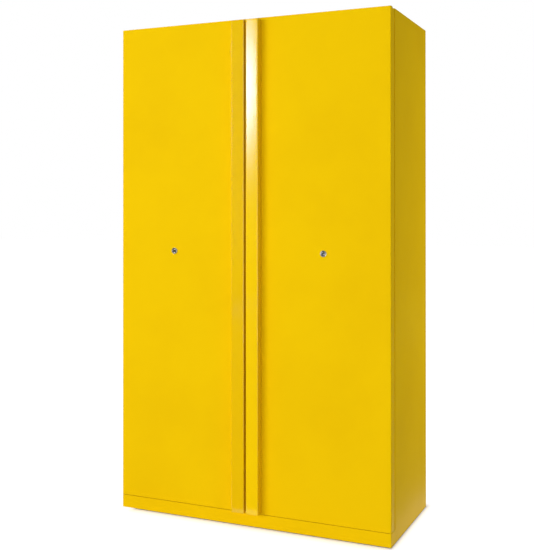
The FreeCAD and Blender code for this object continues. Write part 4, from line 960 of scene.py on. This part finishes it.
# Spigot beads: a ridge rolled into each stub near its mouth, behind which a hose clip grips.
BEAD_RISE = 0.041
BEAD_PROFILE = ((37.30, -1.6), (37.75, -1.3), (38.20, -0.8), (38.40, 0.0), (38.20, 0.8), (37.75, 1.3),
                (37.30, 1.6))
for name, x in zip(("supply", "exhaust"), spigot_xs):
    bead = turned(name + "_spigot_bead", (x, spigot_y, top_z + BEAD_RISE), TO_TOP, TO_RIGHT, BEAD_PROFILE, 40.0)
    put(bead, "cabinet", "grey_paint", grey_coat)


# Earthing stud: an M8 brass stud pressed through the top sheet, with a washer and a hexagon nut. Its
# thread, like that of the feet below, is cut to the standard coarse pitch.
THREAD_STEPS = 24
ROWS_PER_TURN = 8
THREAD_DEPTH = 0.61
FLANK_GAIN, FLANK_FLAT = 1.25, 0.125
STUD_RADIUS, STUD_PITCH, STUD_LEAD_IN = 0.004, 0.00125, 0.0008
WASHER_SHEET, NUT_TOP, NUT_FLATS, NUT_BORE = 0.0016, 0.0081, 0.013, 0.0039
WASHER_PROFILE = ((3.9, 0.0), (7.7, 0.0), (8.0, 0.25), (8.0, 1.35), (7.7, 1.6), (3.9, 1.6))
NUT_STEPS = 72
NUT_LEVELS = (0.0, 0.09, 0.18, 0.82, 0.91, 1.0, 1.0, 0.0)
NUT_CONE = (0.97, 1.07, 1.16, 1.16, 1.07, 0.97, 0.0, 0.0)


def threaded_rod(name, x, y, z0, z1, radius, pitch, lead_in):
    """An upright threaded rod, chamfered at its top.

    The radius falls by 0.61 of the pitch times a triangle wave of (height / pitch - angle / full turn), with
    a narrow flat at crest and root."""
    rows = int((z1 - z0) / pitch * ROWS_PER_TURN)
    z = np.linspace(z0, z1, rows)[:, None]
    angle = np.linspace(0.0, 2.0 * np.pi, THREAD_STEPS, endpoint=False)[None, :]
    phase = (z - z0) / pitch - angle / (2.0 * np.pi)
    wave = np.abs(2.0 * (phase - np.floor(phase)) - 1.0)
    flank = np.clip(FLANK_GAIN * wave - FLANK_FLAT, 0.0, 1.0)
    out = np.minimum(radius - THREAD_DEPTH * pitch * flank, radius - lead_in + (z1 - z))
    points = np.stack([x + out * np.cos(angle), y + out * np.sin(angle), z + 0.0 * angle], axis=-1)
    return grid_mesh(name, points, closed_columns=True, capped=True, sharp_angle=35.0)


def hexagon_nut(name, x, y, z0, z1, flats, bore):
    """A hexagon nut: half its flats / cos(angle off the nearest flat), kept under a cone at both faces."""
    angle = np.linspace(0.0, 2.0 * np.pi, NUT_STEPS, endpoint=False)[None, :]
    hexagon = 0.5 * flats / np.cos((angle + np.pi / 6.0) % (np.pi / 3.0) - np.pi / 6.0)
    out = np.minimum(hexagon, 0.5 * flats * np.array(NUT_CONE)[:, None])
    out[-2:] = bore
    z = z0 + (z1 - z0) * np.array(NUT_LEVELS)[:, None] + 0.0 * angle
    points = np.stack([x + out * np.cos(angle), y + out * np.sin(angle), z], axis=-1)
    return grid_mesh(name, points, closed_rows=True, closed_columns=True, sharp_angle=25.0)


low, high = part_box("earthing_stud")
stud_x, stud_y = (low.x + high.x) / 2, (low.y + high.y) / 2
stud = threaded_rod("earth_stud_thread", stud_x, stud_y, low.z, high.z, STUD_RADIUS, STUD_PITCH, STUD_LEAD_IN)
put(stud, "cabinet", "bush_brass", brass, "earthing_stud")
washer = turned("earth_washer", (stud_x, stud_y, top_z), TO_TOP, TO_RIGHT, WASHER_PROFILE, 30.0)
put(washer, "cabinet", "bush_brass", brass)
nut = hexagon_nut("earth_nut", stud_x, stud_y, top_z + WASHER_SHEET, top_z + NUT_TOP, NUT_FLATS, NUT_BORE)
put(nut, "cabinet", "bush_brass", brass)


# Levelling feet: a turned steel pad with a rounded rim and a shallow groove, a hexagon collar for the
# spanner and an M10 spindle that runs in the bracket's nut.
PAD_PROFILE = (
    (0.4, 0.0), (20.6, 0.0), (21.5, 0.3), (22.0, 1.1), (22.0, 5.6), (21.6, 6.6), (20.8, 7.3), (19.6, 7.75),
    (18.0, 7.95), (15.2, 8.0), (14.9, 7.5), (14.1, 7.5), (13.8, 8.0), (0.4, 8.0))
COLLAR_FOOT, COLLAR_TOP, COLLAR_FLATS, COLLAR_BORE = 0.008, 0.016, 0.017, 0.0046
SPINDLE_FOOT, SPINDLE_RADIUS, SPINDLE_PITCH, SPINDLE_LEAD_IN = 0.004, 0.005, 0.0015, 0.001
for name in ("front_left_foot", "front_right_foot", "rear_left_foot", "rear_right_foot"):
    low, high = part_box(name)
    x, y = (low.x + high.x) / 2, (low.y + high.y) / 2
    pad = turned(name + "_pad", (x, y, low.z), TO_TOP, TO_RIGHT, PAD_PROFILE, 40.0)
    put(pad, name, "foot_steel", zinc, name)
    collar = hexagon_nut(name + "_collar", x, y, low.z + COLLAR_FOOT, low.z + COLLAR_TOP, COLLAR_FLATS,
                         COLLAR_BORE)
    put(collar, name, "foot_steel", zinc)
    spindle = threaded_rod(name + "_spindle", x, y, low.z + SPINDLE_FOOT, high.z, SPINDLE_RADIUS, SPINDLE_PITCH,
                           SPINDLE_LEAD_IN)
    put(spindle, name, "foot_steel", zinc)
